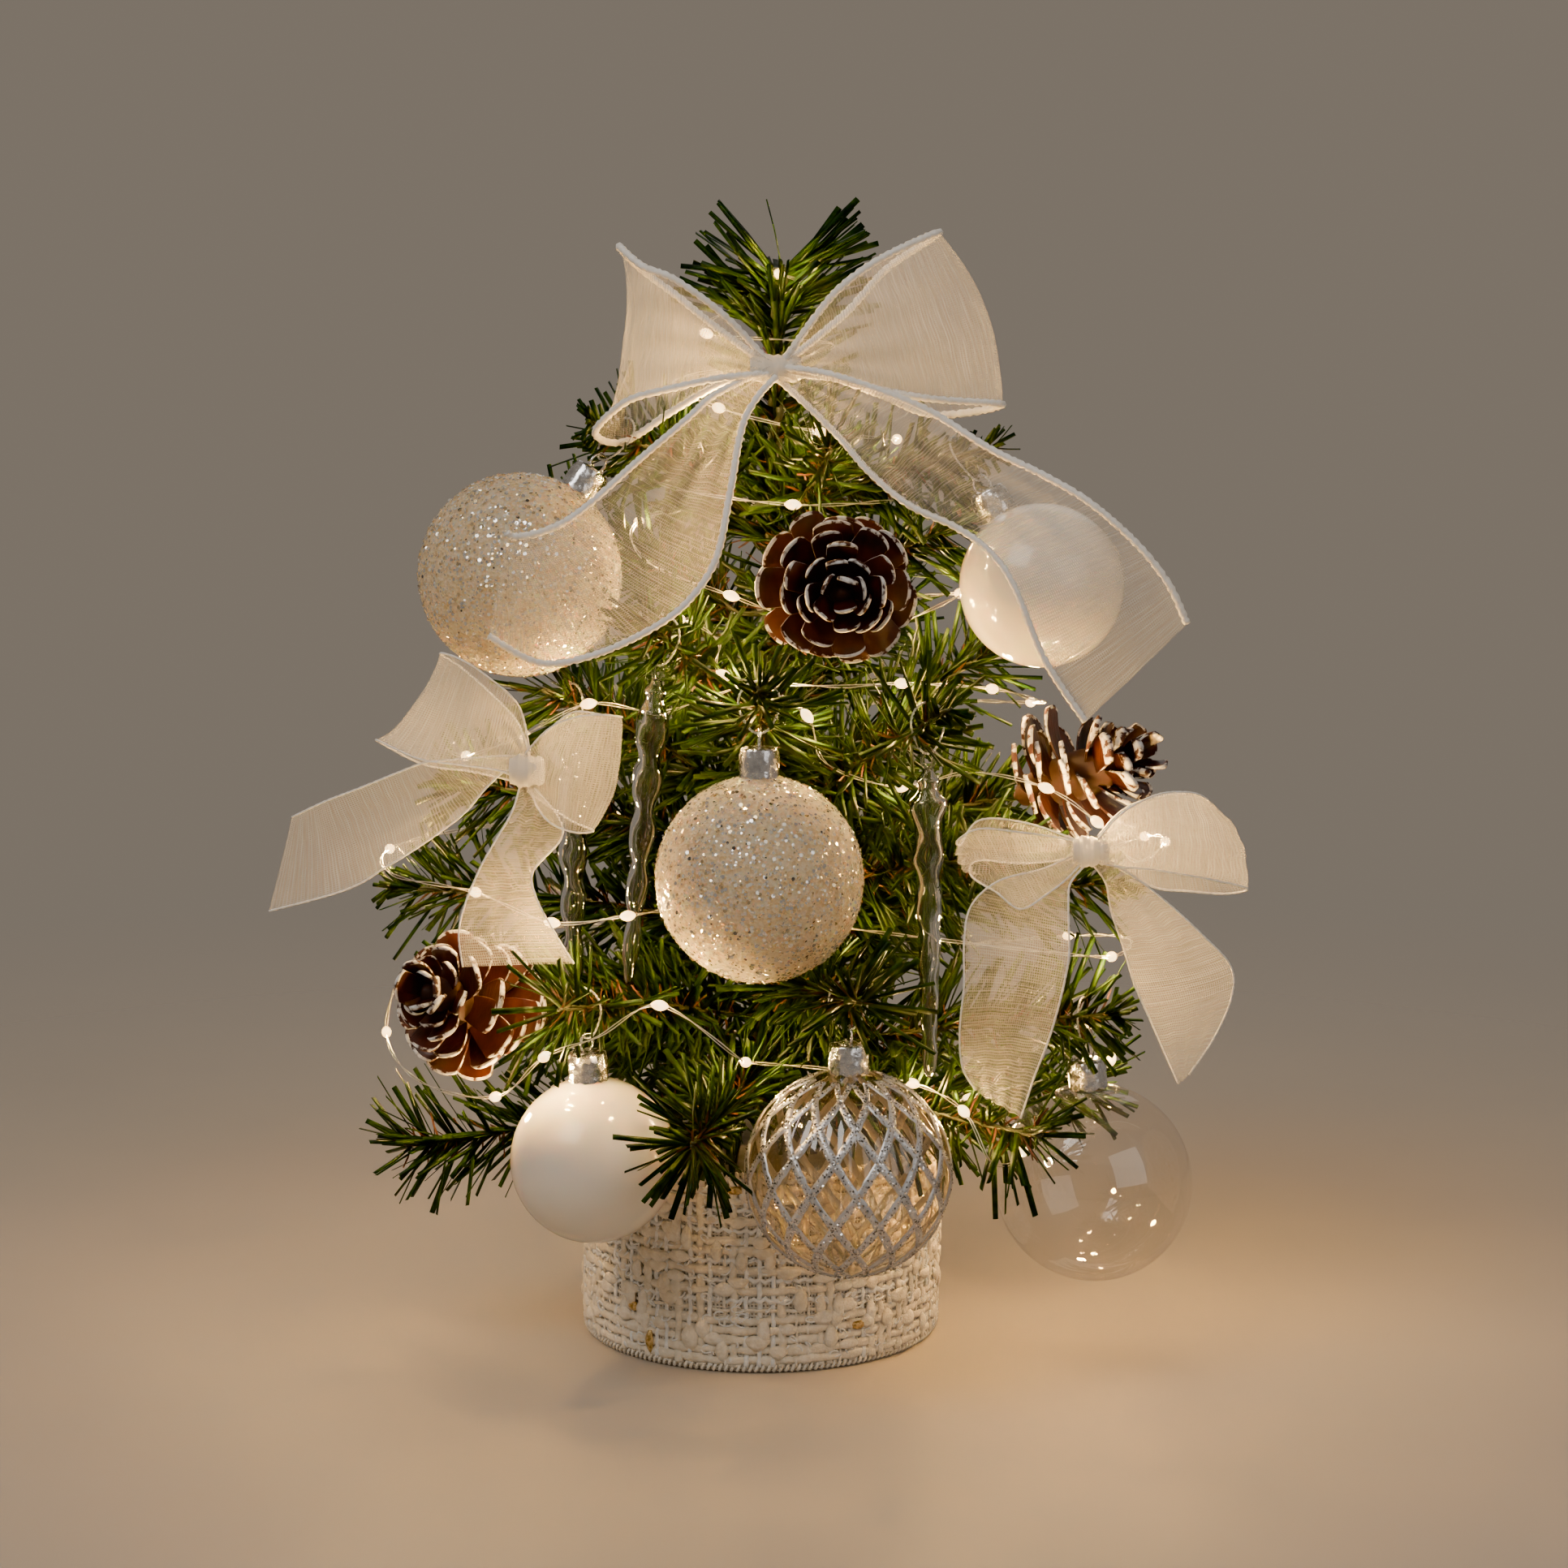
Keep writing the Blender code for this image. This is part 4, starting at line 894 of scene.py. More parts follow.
def pine_scale(shape, place, a, height, rim, lift, draw, t):
    """One tongue of wood: narrow root, rounded end that thickens and turns up, and a painted rim."""
    out = Vector((math.cos(a), math.sin(a), 0))
    side = Vector((-math.sin(a), math.cos(a), 0))
    ahead = out * math.cos(lift) + UP * math.sin(lift)
    over = UP * math.cos(lift) - out * math.sin(lift)
    root = 3.5 * (1 - t)
    length = min(23.0, max(9.0, (rim - root) / max(0.42, math.cos(lift))))
    length = min(length, (CONE_HALF - 1.6 - height) / max(0.15, math.sin(lift)))
    half = (5.9 - 2.9 * max(0.0, t - 0.4) / 0.6) * draw.uniform(0.88, 1.1)
    start = out * root + UP * height
    columns = 11
    bend = draw.uniform(1.0, 2.8)
    tilt = draw.uniform(-0.12, 0.12)
    top, bottom = [], []
    for s in ALONG:
        width = half * (0.46 + 0.54 * math.sin(min(1.0, s * 1.25) * math.pi / 2))
        for j in range(columns):
            u = math.sin(math.pi / 2 * (-1 + 2 * j / (columns - 1)))
            round_end = 0.30 * half * (1 - math.sqrt(max(0.0, 1 - 0.96 * u * u))) * s ** 3
            cup = 0.9 * (1 - u * u) * (s - 0.55) + tilt * u * half * s
            wave = 0.25 * noise.noise(Vector((a + 1.3 * u, t * 9, 3 * s)))
            point = start + ahead * (length * s - round_end * 1.8) + side * width * u
            point += over * (bend * s ** 3 + cup + wave)
            thick = 0.55 + 1.15 * s ** 2 * (1 - 0.55 * u * u)
            top.append(place @ (point + over * thick * 0.5))
            bottom.append(place @ (point - over * thick * 0.5))
    rows = len(ALONG)
    faces = grid_faces(rows, columns)
    count = rows * columns
    top_kinds = [1 if n // (columns - 1) >= rows - 3 else 0 for n in range(len(faces))]
    under_kinds = [1 if n // (columns - 1) >= rows - 5 else 0 for n in range(len(faces))]
    bottoms = [tuple(i + count for i in face)[::-1] for face in faces]
    loop = list(range(columns)) + [i * columns + columns - 1 for i in range(1, rows)]
    loop += [(rows - 1) * columns + j for j in range(columns - 2, -1, -1)]
    loop += [i * columns for i in range(rows - 2, 0, -1)]
    rims, rim_kinds = [], []
    for here, there in zip(loop, loop[1:] + loop[:1]):
        rims.append((there, here, here + count, there + count))
        rim_kinds.append(1 if min(here, there) >= (rows - 7) * columns else 0)
    first = len(shape.kinds)
    shape.add(top + bottom, faces + bottoms + rims)
    shape.kinds[first:] = top_kinds + under_kinds + rim_kinds


# ---- light string ---------------------------------------------------------------------------
LEAD = [(16, -12, 20.5), (16, -12, 61)]
LIGHT_ROUTE = LEAD + [
    (38, -19, 66), (66, -6, 74), (98, -2, 80), (111, 2, 84),
    (104, -4, 97), (80, -20, 89), (70, -44, 83), (78, -68, 72), (68, -82, 72), (60, -76, 86),
    (46, -48, 88), (20, -46, 92), (-4, -64, 98), (-6, -98, 107), (-28, -98, 122), (-46, -94, 112),
    (-62, -84, 104), (-78, -66, 88), (-104, -36, 86), (-118, -2, 94), (-114, 32, 110), (-94, 68, 112),
    (-46, 102, 110), (8, 114, 104), (64, 98, 104), (102, 58, 114), (117, 10, 122), (106, -44, 126),
    (80, -66, 132), (54, -60, 134), (24, -50, 136), (0, -44, 138), (-22, -52, 142), (-38, -76, 144),
    (-60, -76, 142), (-84, -58, 148), (-112, -26, 148), (-118, 14, 150), (-96, 60, 150), (-50, 92, 150),
    (8, 102, 146), (60, 86, 142), (98, 56, 140), (122, 14, 154), (124, -24, 158), (112, -50, 156),
    (99, -65, 170), (84, -65, 180), (62, -60, 184), (42, -48, 178), (20, -56, 186), (14, -72, 202),
    (0, -64, 210), (-14, -56, 206), (-30, -44, 200), (-50, -58, 204), (-70, -52, 194), (-90, -20, 184),
    (-98, 12, 184), (-78, 52, 182), (-34, 86, 184), (12, 98, 186), (56, 66, 192), (86, 22, 196),
    (86, -12, 200), (70, -34, 206), (42, -58, 210), (20, -66, 210), (-10, -74, 214), (-12, -52, 222),
    (-24, -34, 227), (-47, 0, 226), (-36, 38, 221), (2, 60, 223), (42, 36, 228), (62, 4, 232),
    (58, -23, 232), (34, -34, 224), (6, -46, 230), (-8, -62, 236), (-34, -28, 244), (-38, 10, 254),
    (-10, 48, 257), (36, 34, 262), (44, -12, 262), (10, -51, 262), (-28, -34, 267), (-32, 12, 274),
    (8, 38, 281), (42, -6, 280), (18, -43, 283), (-12, -38, 290), (-26, 0, 298), (6, 26, 304),
    (22, -6, 309), (-16, -19, 312), (-8, 14, 320), (14, 8, 326), (6, -11, 330),
]
LAMPS = (3, 5, 6, 9, 11, 12, 14, 16, 18, 19, 21, 23, 25, 27, 29, 32, 35, 36, 37, 39, 41, 43, 45, 46, 48, 49,
         51, 53, 55, 57, 59, 61, 63, 65, 67, 68, 70, 72, 74, 76, 77, 79, 81, 83, 85, 87, 89, 91, 92, 93, 95,
         97, 99, 100)


def make_lights():
    """Two fine wires side by side along the route, with a glowing bead over each lamp."""
    path = smooth_path(LIGHT_ROUTE, 3.2)
    frames = moving_frame(path)
    wires = Shape()
    twisted_pair(wires, path, 0.38, 0.17, 5, 0.55)
    beads = Shape()
    for n in LAMPS:
        middle = Vector(LIGHT_ROUTE[n])
        k = min(range(len(path)), key=lambda i: (path[i] - middle).length)
        point, along, side, other = frames[k]
        outline = [(0.2 + 1.35 * math.sin(math.pi * i / 8) ** 0.7, -2.6 + 5.2 * i / 8) for i in range(9)]
        turn = Matrix((side, other, along)).transposed().to_4x4()
        turned(beads, outline, 12, Matrix.Translation(point) @ turn)
        lamp = bpy.data.lights.new(f"lamp_{n}", "POINT")
        lamp.energy = LAMP_POWER
        lamp.color = (1.0, 0.56, 0.16)
        lamp.shadow_soft_size = 0.0022
        add_object(f"lamp_light_{n}", lamp, point * MM)
    lamps = make("light_beads", beads, [LOOKS["glow"]], "tree")
    string = make("light_wires", wires, [LOOKS["lamp_wire"]], "tree", ["light_string"])


# ---- foliage --------------------------------------------------------------------------------
ROD_SIDES = 6
ROOM = 9.0                   # needles may stand this far outside the CAD box
BARE = 10.0                  # the middle of a branch, by the trunk, has no needles for this far
NEEDLES_PER_MM = 2.3         # along a branch's wire
LOWEST = 30.0                # no needle reaches lower
SHORTEST = 6.5               # a needle cut shorter than this is left out
CLEARANCE = 0.8              # needles stop this far from what is in their way
BALL_ROOM = 2.4              # air round a ball
CAP_MIDDLE, CAP_ROOM = -8, 7.8    # a ball of air that holds a cap, below the pivot


def obstacles(ribbons):
    """What needles stop short of, and balls of air that none start in, round hung pieces in all their places."""
    solids, kept_clear = Shape(), []
    solids.add(ribbons.points, ribbons.faces)
    for name, radius in BALLS.items():
        place = hanging_frame(name)
        centre = Vector((0, 0, -BALL_DROP[radius]))
        shape = Shape()
        outline = shell_outline(radius + BALL_ROOM, CAP_TOP + BALL_DROP[radius], 7.2, 10)
        turned(shape, outline, 20, place @ Matrix.Translation(centre))
        for points in posed(name, shape.points):
            solids.add(points, shape.faces)
        for points in posed(name, [place @ centre, place @ Vector((0, 0, CAP_MIDDLE))]):
            kept_clear += [(points[0], radius + BALL_ROOM), (points[1], CAP_ROOM)]
    for name in ICICLES:
        place = hanging_frame(name)
        shape = Shape()
        tube(shape, [place @ Vector((0, 0, z)) for z in (-3, -12, -50, -98)], [6, 8.4, 7.2, 4.6], 10)
        for points in posed(name, shape.points):
            solids.add(points, shape.faces)
        for points in posed(name, [place @ Vector((0, 0, -6.0 - 6.0 * k)) for k in range(16)]):
            kept_clear += [(point, 8.0 - 0.22 * k) for k, point in enumerate(points)]
    for middle, points_to, _ in CONES.values():
        place = Matrix.Translation(Vector(middle)) @ Vector(points_to).to_track_quat("Z", "Y").to_matrix().to_4x4()
        outline = [(0.1, -24), (16, -18), (23, -8), (24, 2), (20, 12), (10, 21), (0.1, 24)]
        turned(solids, outline, 16, place)
    return solids.tree(), kept_clear


# (height, how far from the trunk's axis needles reach there)
OUTLINE = ((40, 112), (60, 122), (80, 125), (110, 121), (150, 112), (190, 98), (215, 90), (250, 78), (275, 67),
           (300, 54), (320, 42), (345, 39), (360, 34))


def reach_at(height):
    """How far from the trunk's axis needles may reach at a height."""
    for (low, near), (high, far) in zip(OUTLINE, OUTLINE[1:]):
        if height <= high:
            return near + (far - near) * max(0.0, (height - low) / (high - low))
    return OUTLINE[-1][1]


def needle(shape, root, way, length, width, draw, blocked):
    """A flat strip with a low ridge and a square end, cut short where something is in its way."""
    trim = draw.uniform(-4.0, 4.0)
    solids, kept_clear = blocked
    if any((root - centre).length < radius for centre, radius in kept_clear):
        return
    tip = root + way * length
    while length > 8.0 and tip.xy.length > reach_at(tip.z) + trim:
        length *= 0.92
        tip = root + way * length
    for axis in range(3):
        reach = way[axis] * length
        low, high = CAD_LOW[axis] / MM - ROOM, CAD_HIGH[axis] / MM + ROOM
        if axis == 2:
            low = LOWEST
        if tip[axis] > high or tip[axis] < low:
            limit = high if tip[axis] > high else low
            length *= max(0.0, (limit - root[axis]) / reach)
            tip = root + way * length
    hit = solids.ray_cast(root, way, length + CLEARANCE)
    if hit[0] is not None:
        length = hit[3] - CLEARANCE
    if length < SHORTEST:
        return
    side = way.cross(any_way(draw)).normalized()
    over = side.cross(way)
    droop = draw.uniform(-0.06, 0.10) * length
    bent = way * length + over * droop
    if solids.ray_cast(root, bent.normalized(), bent.length + CLEARANCE)[0] is not None:
        droop = 0.0
    points = []
    for t, share in ((0.0, 0.75), (0.5, 1.0), (1.0, 0.92)):
        middle = root + way * length * t + over * droop * t * t
        half = width * share / 2
        points += [middle - side * half, middle + side * half, middle + over * 0.28 * share]
    shape.add(points, grid_faces(3, 3, wrap_columns=True) + end_caps(3, 9))


def fibre(shape, root, way, length, draw, blocked):
    """A short curled brown fibre near the wire."""
    tip = root + way * length
    if any(min((root - centre).length, (tip - centre).length) < radius for centre, radius in blocked[1]):
        return
    if tip.xy.length > reach_at(tip.z) - 5.0:
        return
    side = way.cross(any_way(draw)).normalized() * 0.32
    middle = root + way * length * 0.55 + side * draw.uniform(-1.5, 1.5)
    shape.add([root - side, root + side, middle + side, middle - side, tip + side * 0.7, tip - side * 0.7],
              [(0, 1, 2, 3), (3, 2, 4, 5)], 1)


def garland(shape, path, draw, blocked, density, lengths, spread, start=0.0, tip_spread=0.35):
    """Needles and brown fibres all round a wire. spread is the lean away from the wire, in degrees."""
    path = [Vector(p) for p in path]
    lengths_along = [0.0]
    for a, b in zip(path, path[1:]):
        lengths_along.append(lengths_along[-1] + (b - a).length)
    total = lengths_along[-1]
    frames = moving_frame(path)
    count = int((total - start) * density)
    for n in range(count):
        s = start + (total - start) * (n + draw.random()) / count
        k = max(i for i in range(len(path) - 1) if lengths_along[i] <= s)
        t = (s - lengths_along[k]) / max(1e-6, lengths_along[k + 1] - lengths_along[k])
        point = path[k].lerp(path[k + 1], t)
        _, along, side, other = frames[k]
        _, along_next, _, _ = frames[k + 1]
        run = along.lerp(along_next, t).normalized()
        a = draw.uniform(0, 2 * math.pi)
        outward = (side * math.cos(a) + other * math.sin(a)).normalized()
        near_tip = max(0.0, 1.0 - (total - s) / 16.0)
        lean = math.radians(draw.uniform(*spread)) * (1.0 - (1.0 - tip_spread) * near_tip * draw.random())
        way = (run * math.cos(lean) + outward * math.sin(lean)).normalized()
        needle(shape, point + outward * 0.7, way, draw.uniform(*lengths), draw.uniform(1.4, 2.0), draw, blocked)
        if n % 4 != 3:
            lean = math.radians(draw.uniform(40, 95))
            way = (run * math.cos(lean) + outward * math.sin(lean)).normalized()
            fibre(shape, point, way, draw.uniform(5.0, 10.0), draw, blocked)


def make_branch(number, blocked):
    """The two arms of one length of branch wire, with their needles, from the trunk outwards."""
    name = f"branch_{number:02d}"
    draw = random.Random(number)
    rings = centre_line(name)
    middle = min(range(len(rings)), key=lambda k: rings[k].xy.length)
    path = smooth_path(rings, 4.0)
    shape = Shape()
    twisted_pair(shape, path, 0.52, 0.52, 6, 1.1, 2)
    centre = min(range(len(path)), key=lambda k: (path[k] - rings[middle]).length)
    for side in (path[centre:], path[:centre + 1][::-1]):
        garland(shape, side, draw, blocked, NEEDLES_PER_MM, (19.0, 28.0), (36, 76), BARE, 0.5)
    make(name + "_needles", shape, [LOOKS["needle"], LOOKS["tinsel"], LOOKS["wire"]], "tree", [name])


TRUNK_LEAN = 6.5             # sideways shift of the trunk's top
BASE_TOP = 62.0
TRUNK_TOP = 338.0


def trunk_at(height):
    """A place on the trunk's axis, which curves aside towards its top."""
    rise = max(0.0, (height - BASE_TOP) / (TRUNK_TOP - BASE_TOP))
    return Vector((TRUNK_LEAN * rise ** 1.5, 0, height))


def make_trunk(blocked):
    """Twisted trunk wires, needles up the trunk, and the leader's open tuft."""
    draw = random.Random(99)
    shape = Shape()
    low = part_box("trunk")[0].z / MM
    path = [trunk_at(low + (TRUNK_TOP - 6 - low) * k / 90) for k in range(91)]
    twisted_pair(shape, path, 1.35, 1.35, 6, 0.8, 2)
    garland(shape, [trunk_at(66 + 6 * k) for k in range(32)], draw, blocked, 1.3, (14.0, 22.0), (50, 85))
    garland(shape, [trunk_at(250 + 4 * k) for k in range(17)], draw, blocked, 3.4, (22.0, 30.0), (48, 80))
    top = trunk_at(TRUNK_TOP - 4)
    for sway, count in ((-1.0, 30), (1.0, 33)):
        for _ in range(count):
            root = trunk_at(draw.uniform(314, TRUNK_TOP - 5)) + Vector((sway * 2.0, 0, 0))
            lean = math.radians(draw.uniform(36, 86))
            way = Vector((sway * math.sin(lean), draw.gauss(0, 0.30), math.cos(lean))).normalized()
            needle(shape, root, way, draw.uniform(24, 33), draw.uniform(1.7, 2.3), draw, blocked)
    for _ in range(40):
        root = trunk_at(draw.uniform(312, 330))
        a = draw.uniform(0, 2 * math.pi)
        way = Vector((0.8 * math.cos(a), math.sin(a), draw.uniform(0.2, 0.7))).normalized()
        needle(shape, root, way, draw.uniform(14, 22), draw.uniform(1.5, 2.0), draw, blocked)
    needle(shape, top, Vector((-0.16, 0.05, 1.0)).normalized(), 22.0, 1.4, draw, blocked)
    make("trunk_leader", shape, [LOOKS["needle"], LOOKS["tinsel"], LOOKS["wire"]], "tree", ["trunk"])


# ---- base -----------------------------------------------------------------------------------
WARPS = 96                   # upright yarns round the base
WEFTS = 19                   # yarns round the base, one above another
SLUBS = 300                  # short fat leaf-shaped floats
CURLS = 700                  # loops of the curly yarn that stand up from the cloth
YARNS = ("thick", "thin", "curly")
STITCHES = 190               # overcast stitches round each hem
YARN_SIDES = 7


def over_or_under(i, j):
    """+1 where the upright yarn passes outside, in an irregular basket weave."""
    return 1.0 if (i + j + (i * 7 + j * 3) % 5 // 4) % 2 else -1.0


def round_base(radius, around, height):
    """A place on the base from its distance round it, in millimetres."""
    a = around / radius
    return Vector((radius * math.cos(a), radius * math.sin(a), height))


def make_sleeve():
    """Curly tweed: thick and thin yarns woven over a fine ground, slubs, loops and gold threads."""
    draw = random.Random(11)
    low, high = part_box("fabric_sleeve")
    outer = high.x / MM
    bottom, top = low.z / MM, high.z / MM
    middle = outer - 0.75
    backing = Shape()
    face = outer - 1.15
    outline = [(face - 1.9, bottom + 0.1), (face - 0.3, bottom + 0.05)]
    outline += [(face, bottom + 1.0 + (top - bottom - 2.0) * k / 9) for k in range(10)]
    outline += [(face - 0.5, top - 0.3), (face - 1.6, top - 0.4), (face - 1.9, top - 2.4)]
    sides = 144
    points, across = [], []
    for radius, height in outline:
        for k in range(sides + 1):
            a = 2 * math.pi * k / sides
            points.append(Vector((radius * math.cos(a), radius * math.sin(a), height)))
            across.append((a * face, height))
    backing.add(points, grid_faces(len(outline), sides + 1), 0, across)
    yarns = Shape()
    pitch = (top - bottom - 3.0) / WEFTS
    steps = 4
    for row in range(WEFTS):
        height = bottom + 2.2 + pitch * (row + 0.5)
        style = draw.choices(YARNS, (6, 2, 4))[0]
        path, widths = [], []
        phase = draw.uniform(0, 50)
        for k in range(WARPS * steps):
            a = 2 * math.pi * k / (WARPS * steps)
            i = k / steps
            wave = -over_or_under(round(i) % WARPS, row) * math.cos(math.pi * (i - round(i)))
            slub = max(0.0, noise.noise(Vector((9 * math.cos(a), 9 * math.sin(a), row * 3.7 + phase))))
            out = middle + 0.34 * wave
            up = 0.5 * noise.noise(Vector((14 * math.cos(a), 14 * math.sin(a), row * 5.1)))
            if style == "curly":
                out += 0.30 * math.sin(k * 2.3 + phase)
                up += 0.45 * math.sin(k * 1.7 + phase)
            path.append(Vector((out * math.cos(a), out * math.sin(a), height + up)))
            widths.append({"thick": 1.25 + 1.2 * slub, "thin": 0.5 + 0.3 * slub, "curly": 0.7 + 0.5 * slub}[style])
        flat_yarn(yarns, path, widths, YARNS.index(style), draw, upright=False)
    for column in range(WARPS):
        a = 2 * math.pi * (column + draw.uniform(-0.15, 0.15)) / WARPS
        style = draw.choices(YARNS, (6, 4, 3))[0]
        path, widths = [], []
        phase = draw.uniform(0, 50)
        count = WEFTS * steps
        for k in range(count + 1):
            j = k / steps - 0.5
            wave = over_or_under(column, min(max(round(j), 0), WEFTS - 1)) * math.cos(math.pi * (j - round(j)))
            out = middle + 0.34 * wave
            slub = max(0.0, noise.noise(Vector((k * 0.16 + phase, column * 2.1, 0.3))))
            turn = a + 0.008 * noise.noise(Vector((k * 0.3, column * 1.3, phase)))
            height = bottom + 1.6 + (top - bottom - 3.2) * k / count
            path.append(Vector((out * math.cos(turn), out * math.sin(turn), height)))
            widths.append({"thick": 1.15 + 1.2 * slub, "thin": 0.45, "curly": 0.7 + 0.4 * slub}[style])
        flat_yarn(yarns, path, widths, YARNS.index(style), draw, upright=True)
    around = 2 * math.pi * middle
    for n in range(SLUBS):
        gold = n % 21 == 0
        upright = draw.random() < 0.42
        length = draw.uniform(5.5, 8.5)
        half = draw.uniform(1.5, 2.3)
        start = draw.uniform(0, around)
        level = draw.uniform(bottom + 4.5, top - 4.5)
        level = bottom + 2.2 + pitch * (round((level - bottom - 2.2) / pitch - 0.5) + 0.5)
        path, widths = [], []
        for k in range(9):
            t = k / 8
            shift = (t - 0.5) * length
            bow = middle + 0.25 + 0.75 * math.sin(math.pi * t)
            height = level + (shift if upright else 0.5 * math.sin(math.pi * t) * (1 if n % 2 else -1))
            path.append(round_base(bow, (start + (0 if upright else shift)) * bow / middle, height))
            widths.append(0.25 + half * math.sin(math.pi * t) ** 0.75 * (0.7 if gold else 1.0))
        flat_yarn(yarns, path, widths, 3 if gold else n % 2, draw, upright, closed=False)
    for n in range(CURLS):
        start = draw.uniform(0, around)
        level = draw.uniform(bottom + 3.0, top - 3.0)
        size = draw.uniform(0.7, 1.3)
        lean = draw.uniform(0, 6.28)
        path = []
        for k in range(10):
            a = 1.7 * math.pi * k / 9 + lean
            path.append(round_base(middle + 0.35 + 0.35 * math.sin(math.pi * k / 9),
                                   start + size * math.cos(a) + 0.12 * k, level + size * math.sin(a)))
        tube(yarns, path, 0.33, 5, 2)
    hem = Shape()
    for edge, lean in ((bottom + 1.2, 1), (top - 1.0, -1)):
        coil = []
        for k in range(STITCHES * 6):
            a = 2 * math.pi * k / (STITCHES * 6)
            turn = lean * 2 * math.pi * k / 6
            out = outer - 1.25 + 0.85 * math.cos(turn)
            coil.append(Vector((out * math.cos(a), out * math.sin(a), edge + 0.9 * math.sin(turn))))
        tube(hem, coil, 0.5, 5, 0, cyclic=True)
    tweed = [LOOKS["yarn_cream"], LOOKS["yarn_thin"], LOOKS["yarn_white"], LOOKS["yarn_gold"]]
    woven = make("sleeve_yarns", yarns, tweed, "tree")
    edge = make("sleeve_hems", hem, [LOOKS["yarn_thin"]], "tree")
    cloth = make("sleeve_cloth", backing, [LOOKS["backing"]], "tree", ["fabric_sleeve"])


def flat_yarn(shape, path, widths, kind, draw, upright, closed=True):
    """An oval yarn, wide along the cloth and thin through it."""
    cyclic = closed and not upright
    points = []
    for k, point in enumerate(path):
        out = Vector((point.x, point.y, 0)).normalized()
        across = Vector((-out.y, out.x, 0)) if upright else UP
        half = widths[k]
        thin = min(0.8, half * 0.6)
        for x, y in circle(1.0, YARN_SIDES, 0.3):
            fuzz = draw.uniform(0.90, 1.10)
            points.append(point + across * x * half * fuzz + out * y * thin * fuzz)
    faces = grid_faces(len(path), YARN_SIDES, wrap_rows=cyclic, wrap_columns=True)
    if not cyclic:
        faces += end_caps(YARN_SIDES, len(points))
    shape.add(points, faces, kind)


def dress_nodes():
    """Materials of the CAD pieces whose shape stays."""
    for node, look in {
        "base_tub": "pot", "top_cover": "pot", "ballast": "plaster", "battery_tray": "case",
        "battery_door": "case", "switch_slider": "case", "battery_cell_1": "cell", "battery_cell_2": "cell",
        "contact_bridge": "spring",
    }.items():
        data = NODES[node].data
        for k in range(len(data.materials)):
            data.materials[k] = LOOKS[look]


# ---- surroundings ---------------------------------------------------------------------------
def area_light(name, place, target, power, size, tint):
    """A rectangular light at place, turned towards target."""
    light = bpy.data.lights.new(name, "AREA")
    light.shape = "RECTANGLE"
    light.size, light.size_y = size
    light.energy = power
    light.color = tint
    node = add_object(name, light, place)
    node.rotation_euler = (Vector(target) - Vector(place)).to_track_quat("-Z", "Y").to_euler()


def make_stage():
    """The surrounding, a round floor that fades out with distance, and three soft lights."""
    world = bpy.data.worlds.new("soft_room")
    bpy.context.scene.world = world
    world.use_nodes = True
    back = world.node_tree.nodes["Background"]
    back.inputs["Color"].default_value = (0.262, 0.222, 0.178, 1.0)
    back.inputs["Strength"].default_value = 1.35
    floor = Shape()
    rings = [0.05, 200, 500, 900, 1400, 2200, 3200]
    points = []
    for radius in rings:
        points += [(x, y, 0.0) for x, y in circle(radius, 96)]
    floor.add(points, grid_faces(len(rings), 96, wrap_columns=True))
    data = bpy.data.meshes.new("floor")
    data.from_pydata([Vector(p) * MM for p in floor.points], [], floor.faces)
    look = Look("pale_floor", Roughness=0.55, Specular_IOR_Level=0.25)
    look.tint(6.0, [(0.3, (0.50, 0.44, 0.37)), (0.7, (0.53, 0.465, 0.39))], 3.0)
    far = look.node("VectorMath", {0: look.where}, operation="LENGTH").outputs["Value"]
    far = look.sum("MULTIPLY", far, 0.40)
    solid = look.ramp(far, [(0.07, 1.0), (0.34, 0.0)])
    data.materials.append(look.mix(solid, look.node("BsdfTransparent"), look.shader).material)
    add_object("floor", data)
    area_light("key", (-0.9, -1.0, 1.5), (0, 0, 0.15), 24.0, (1.0, 1.0), (1.0, 0.95, 0.90))
    area_light("fill", (1.1, -1.2, 0.8), (0, 0, 0.15), 8.0, (1.2, 1.2), (1.0, 0.94, 0.88))
    area_light("back", (0.2, 1.4, 1.2), (0, 0, 0.2), 4.0, (1.4, 0.9), (1.0, 0.96, 0.92))


def make_camera():
    """The camera at the photograph's viewing angle, and the view's contrast."""
    bpy.context.scene.view_settings.look = "AgX - Punchy"
    data = bpy.data.cameras.new("camera")
    data.lens = 73.4
    data.sensor_width = 36.0
    data.clip_start, data.clip_end = 0.01, 50.0
    node = add_object("camera", data, (0.00737, -0.99145, 0.30316))
    node.rotation_euler = (math.radians(82.5), 0, 0)
    bpy.context.scene.camera = node


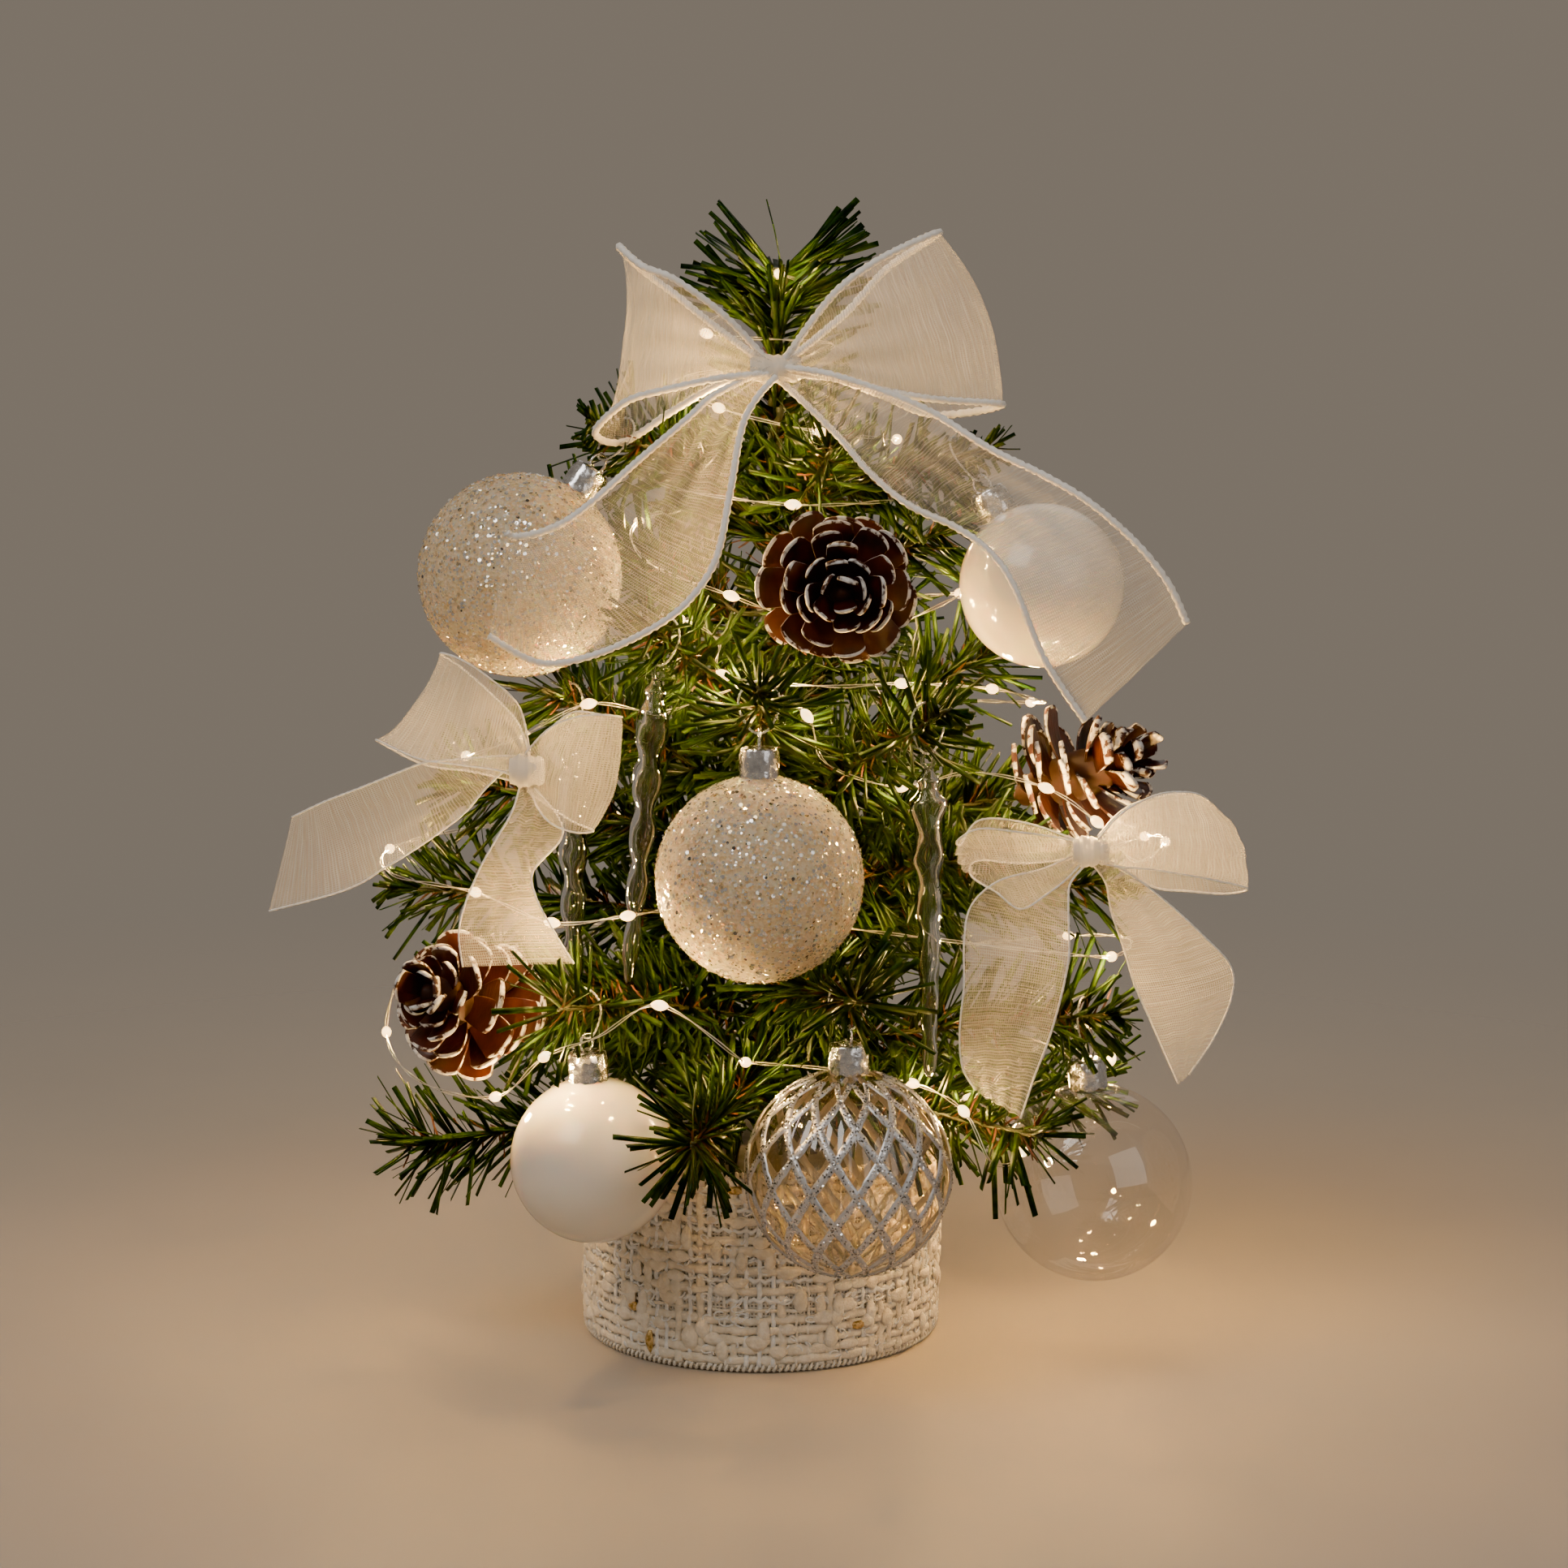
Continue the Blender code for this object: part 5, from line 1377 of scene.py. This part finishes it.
LOOKS = {
    "needle": needle_look(),
    "tinsel": plain_look("inner_brown", 240.0, [(0.35, (0.060, 0.020, 0.008)), (0.6, (0.170, 0.055, 0.018)),
                                                (0.8, (0.080, 0.070, 0.016))], Roughness=0.55),
    "wire": plain_look("green_wire", 300.0, [(0.3, (0.030, 0.040, 0.016)), (0.7, (0.075, 0.080, 0.035))],
                       (800.0, 2.0, 0.1, 1.0), Roughness=0.45, Metallic=0.2),
    "organza_wide": organza_look("organza_wide", (0.99, 0.98, 0.955), 0.85),
    "organza_narrow": organza_look("organza_narrow", (0.99, 0.98, 0.955), 0.82),
    "organza_knot": organza_look("organza_knot", (0.99, 0.97, 0.92), 0.08),
    "edge_cord": plain_look("edge_cord", 700.0, [(0.35, (0.90, 0.85, 0.77)), (0.65, (0.98, 0.96, 0.92))],
                            (1500.0, 2.0, 0.15, 1.0), Roughness=0.7, Sheen_Weight=0.3),
    "frosted": frosted_look(),
    "flake_pearl": flake_look("flake_pearl", (1.0, 0.95, 0.84), 0.18, 0.45),
    "flake_silver": flake_look("flake_silver", (0.97, 0.97, 0.98), 0.16, 0.9),
    "flake_dark": flake_look("flake_dark", (0.25, 0.24, 0.22), 0.15, 0.9),
    "flake_gold": flake_look("flake_gold", (0.88, 0.70, 0.42), 0.18, 0.9),
    "lattice_glitter": flake_look("lattice_glitter", (0.66, 0.67, 0.70), 0.38, 0.6),
    "opal": opal_look(),
    "clear_glass": thin_glass_look("clear_glass", (0.975, 0.965, 0.95), 0.85),
    "amber_glass": thin_glass_look("amber_glass", (0.95, 0.89, 0.76), 0.95),
    "foil": foil_look(),
    "thread": plain_look("silver_strands", 1200.0, [(0.3, (0.42, 0.43, 0.45)), (0.7, (0.85, 0.86, 0.88))],
                         (2500.0, 2.0, 0.1, 1.0), Metallic=0.85, Roughness=0.3),
    "acrylic": acrylic_look(),
    "scale": scale_look(),
    "painted_edge": plain_look("painted_white", 380.0, [(0.44, (0.05, 0.014, 0.010)), (0.50, (0.55, 0.53, 0.51)),
                                                        (0.64, (0.80, 0.80, 0.80))],
                               (1100.0, 3.0, 0.3, 0.8), 4.0, Roughness=0.8),
    "cone_core": plastic_look("cone_core", (0.03, 0.012, 0.008), (0.07, 0.03, 0.018), 500.0, 0.7),
    "yarn_cream": yarn_look("yarn_cream", (0.74, 0.64, 0.48), (0.90, 0.82, 0.68)),
    "yarn_thin": yarn_look("yarn_thin", (0.76, 0.67, 0.52), (0.93, 0.86, 0.74)),
    "yarn_white": yarn_look("yarn_white", (0.80, 0.77, 0.72), (0.95, 0.94, 0.91), 0.5),
    "yarn_gold": plain_look("gold_thread", 900.0, [(0.35, (0.42, 0.26, 0.08)), (0.65, (0.86, 0.62, 0.28))],
                            (1800.0, 2.0, 0.2, 1.0), Metallic=0.9, Roughness=0.3),
    "backing": backing_look(),
    "lamp_wire": plain_look("lamp_wire", 150.0, [(0.35, (0.62, 0.58, 0.50)), (0.65, (0.90, 0.88, 0.84))],
                            Metallic=0.75, Roughness=0.28),
    "glow": glow_look(),
    "pot": plastic_look("pot_plastic", (0.12, 0.12, 0.11), (0.20, 0.20, 0.19)),
    "plaster": plastic_look("plaster", (0.52, 0.50, 0.46), (0.68, 0.66, 0.62), 300.0, 0.8),
    "case": plastic_look("case_plastic", (0.035, 0.035, 0.035), (0.065, 0.065, 0.065), 1400.0, 0.4),
    "cell": metal_look("cell_jacket", (0.22, 0.24, 0.26), (0.36, 0.38, 0.40)),
    "spring": metal_look("contact_steel", (0.55, 0.55, 0.53), (0.80, 0.80, 0.78)),
}

make_camera()
make_stage()
make_lights()
ribbons = make_bows()
blocked = obstacles(ribbons)
for number in range(1, 19):
    make_branch(number, blocked)
make_trunk(blocked)
for name in BALLS:
    make_bauble(name)
    make_hanger(name)
for name in ICICLES:
    make_icicle(name)
    make_hanger(name)
for name, values in CONES.items():
    make_cone(name, *values)
make_sleeve()
dress_nodes()
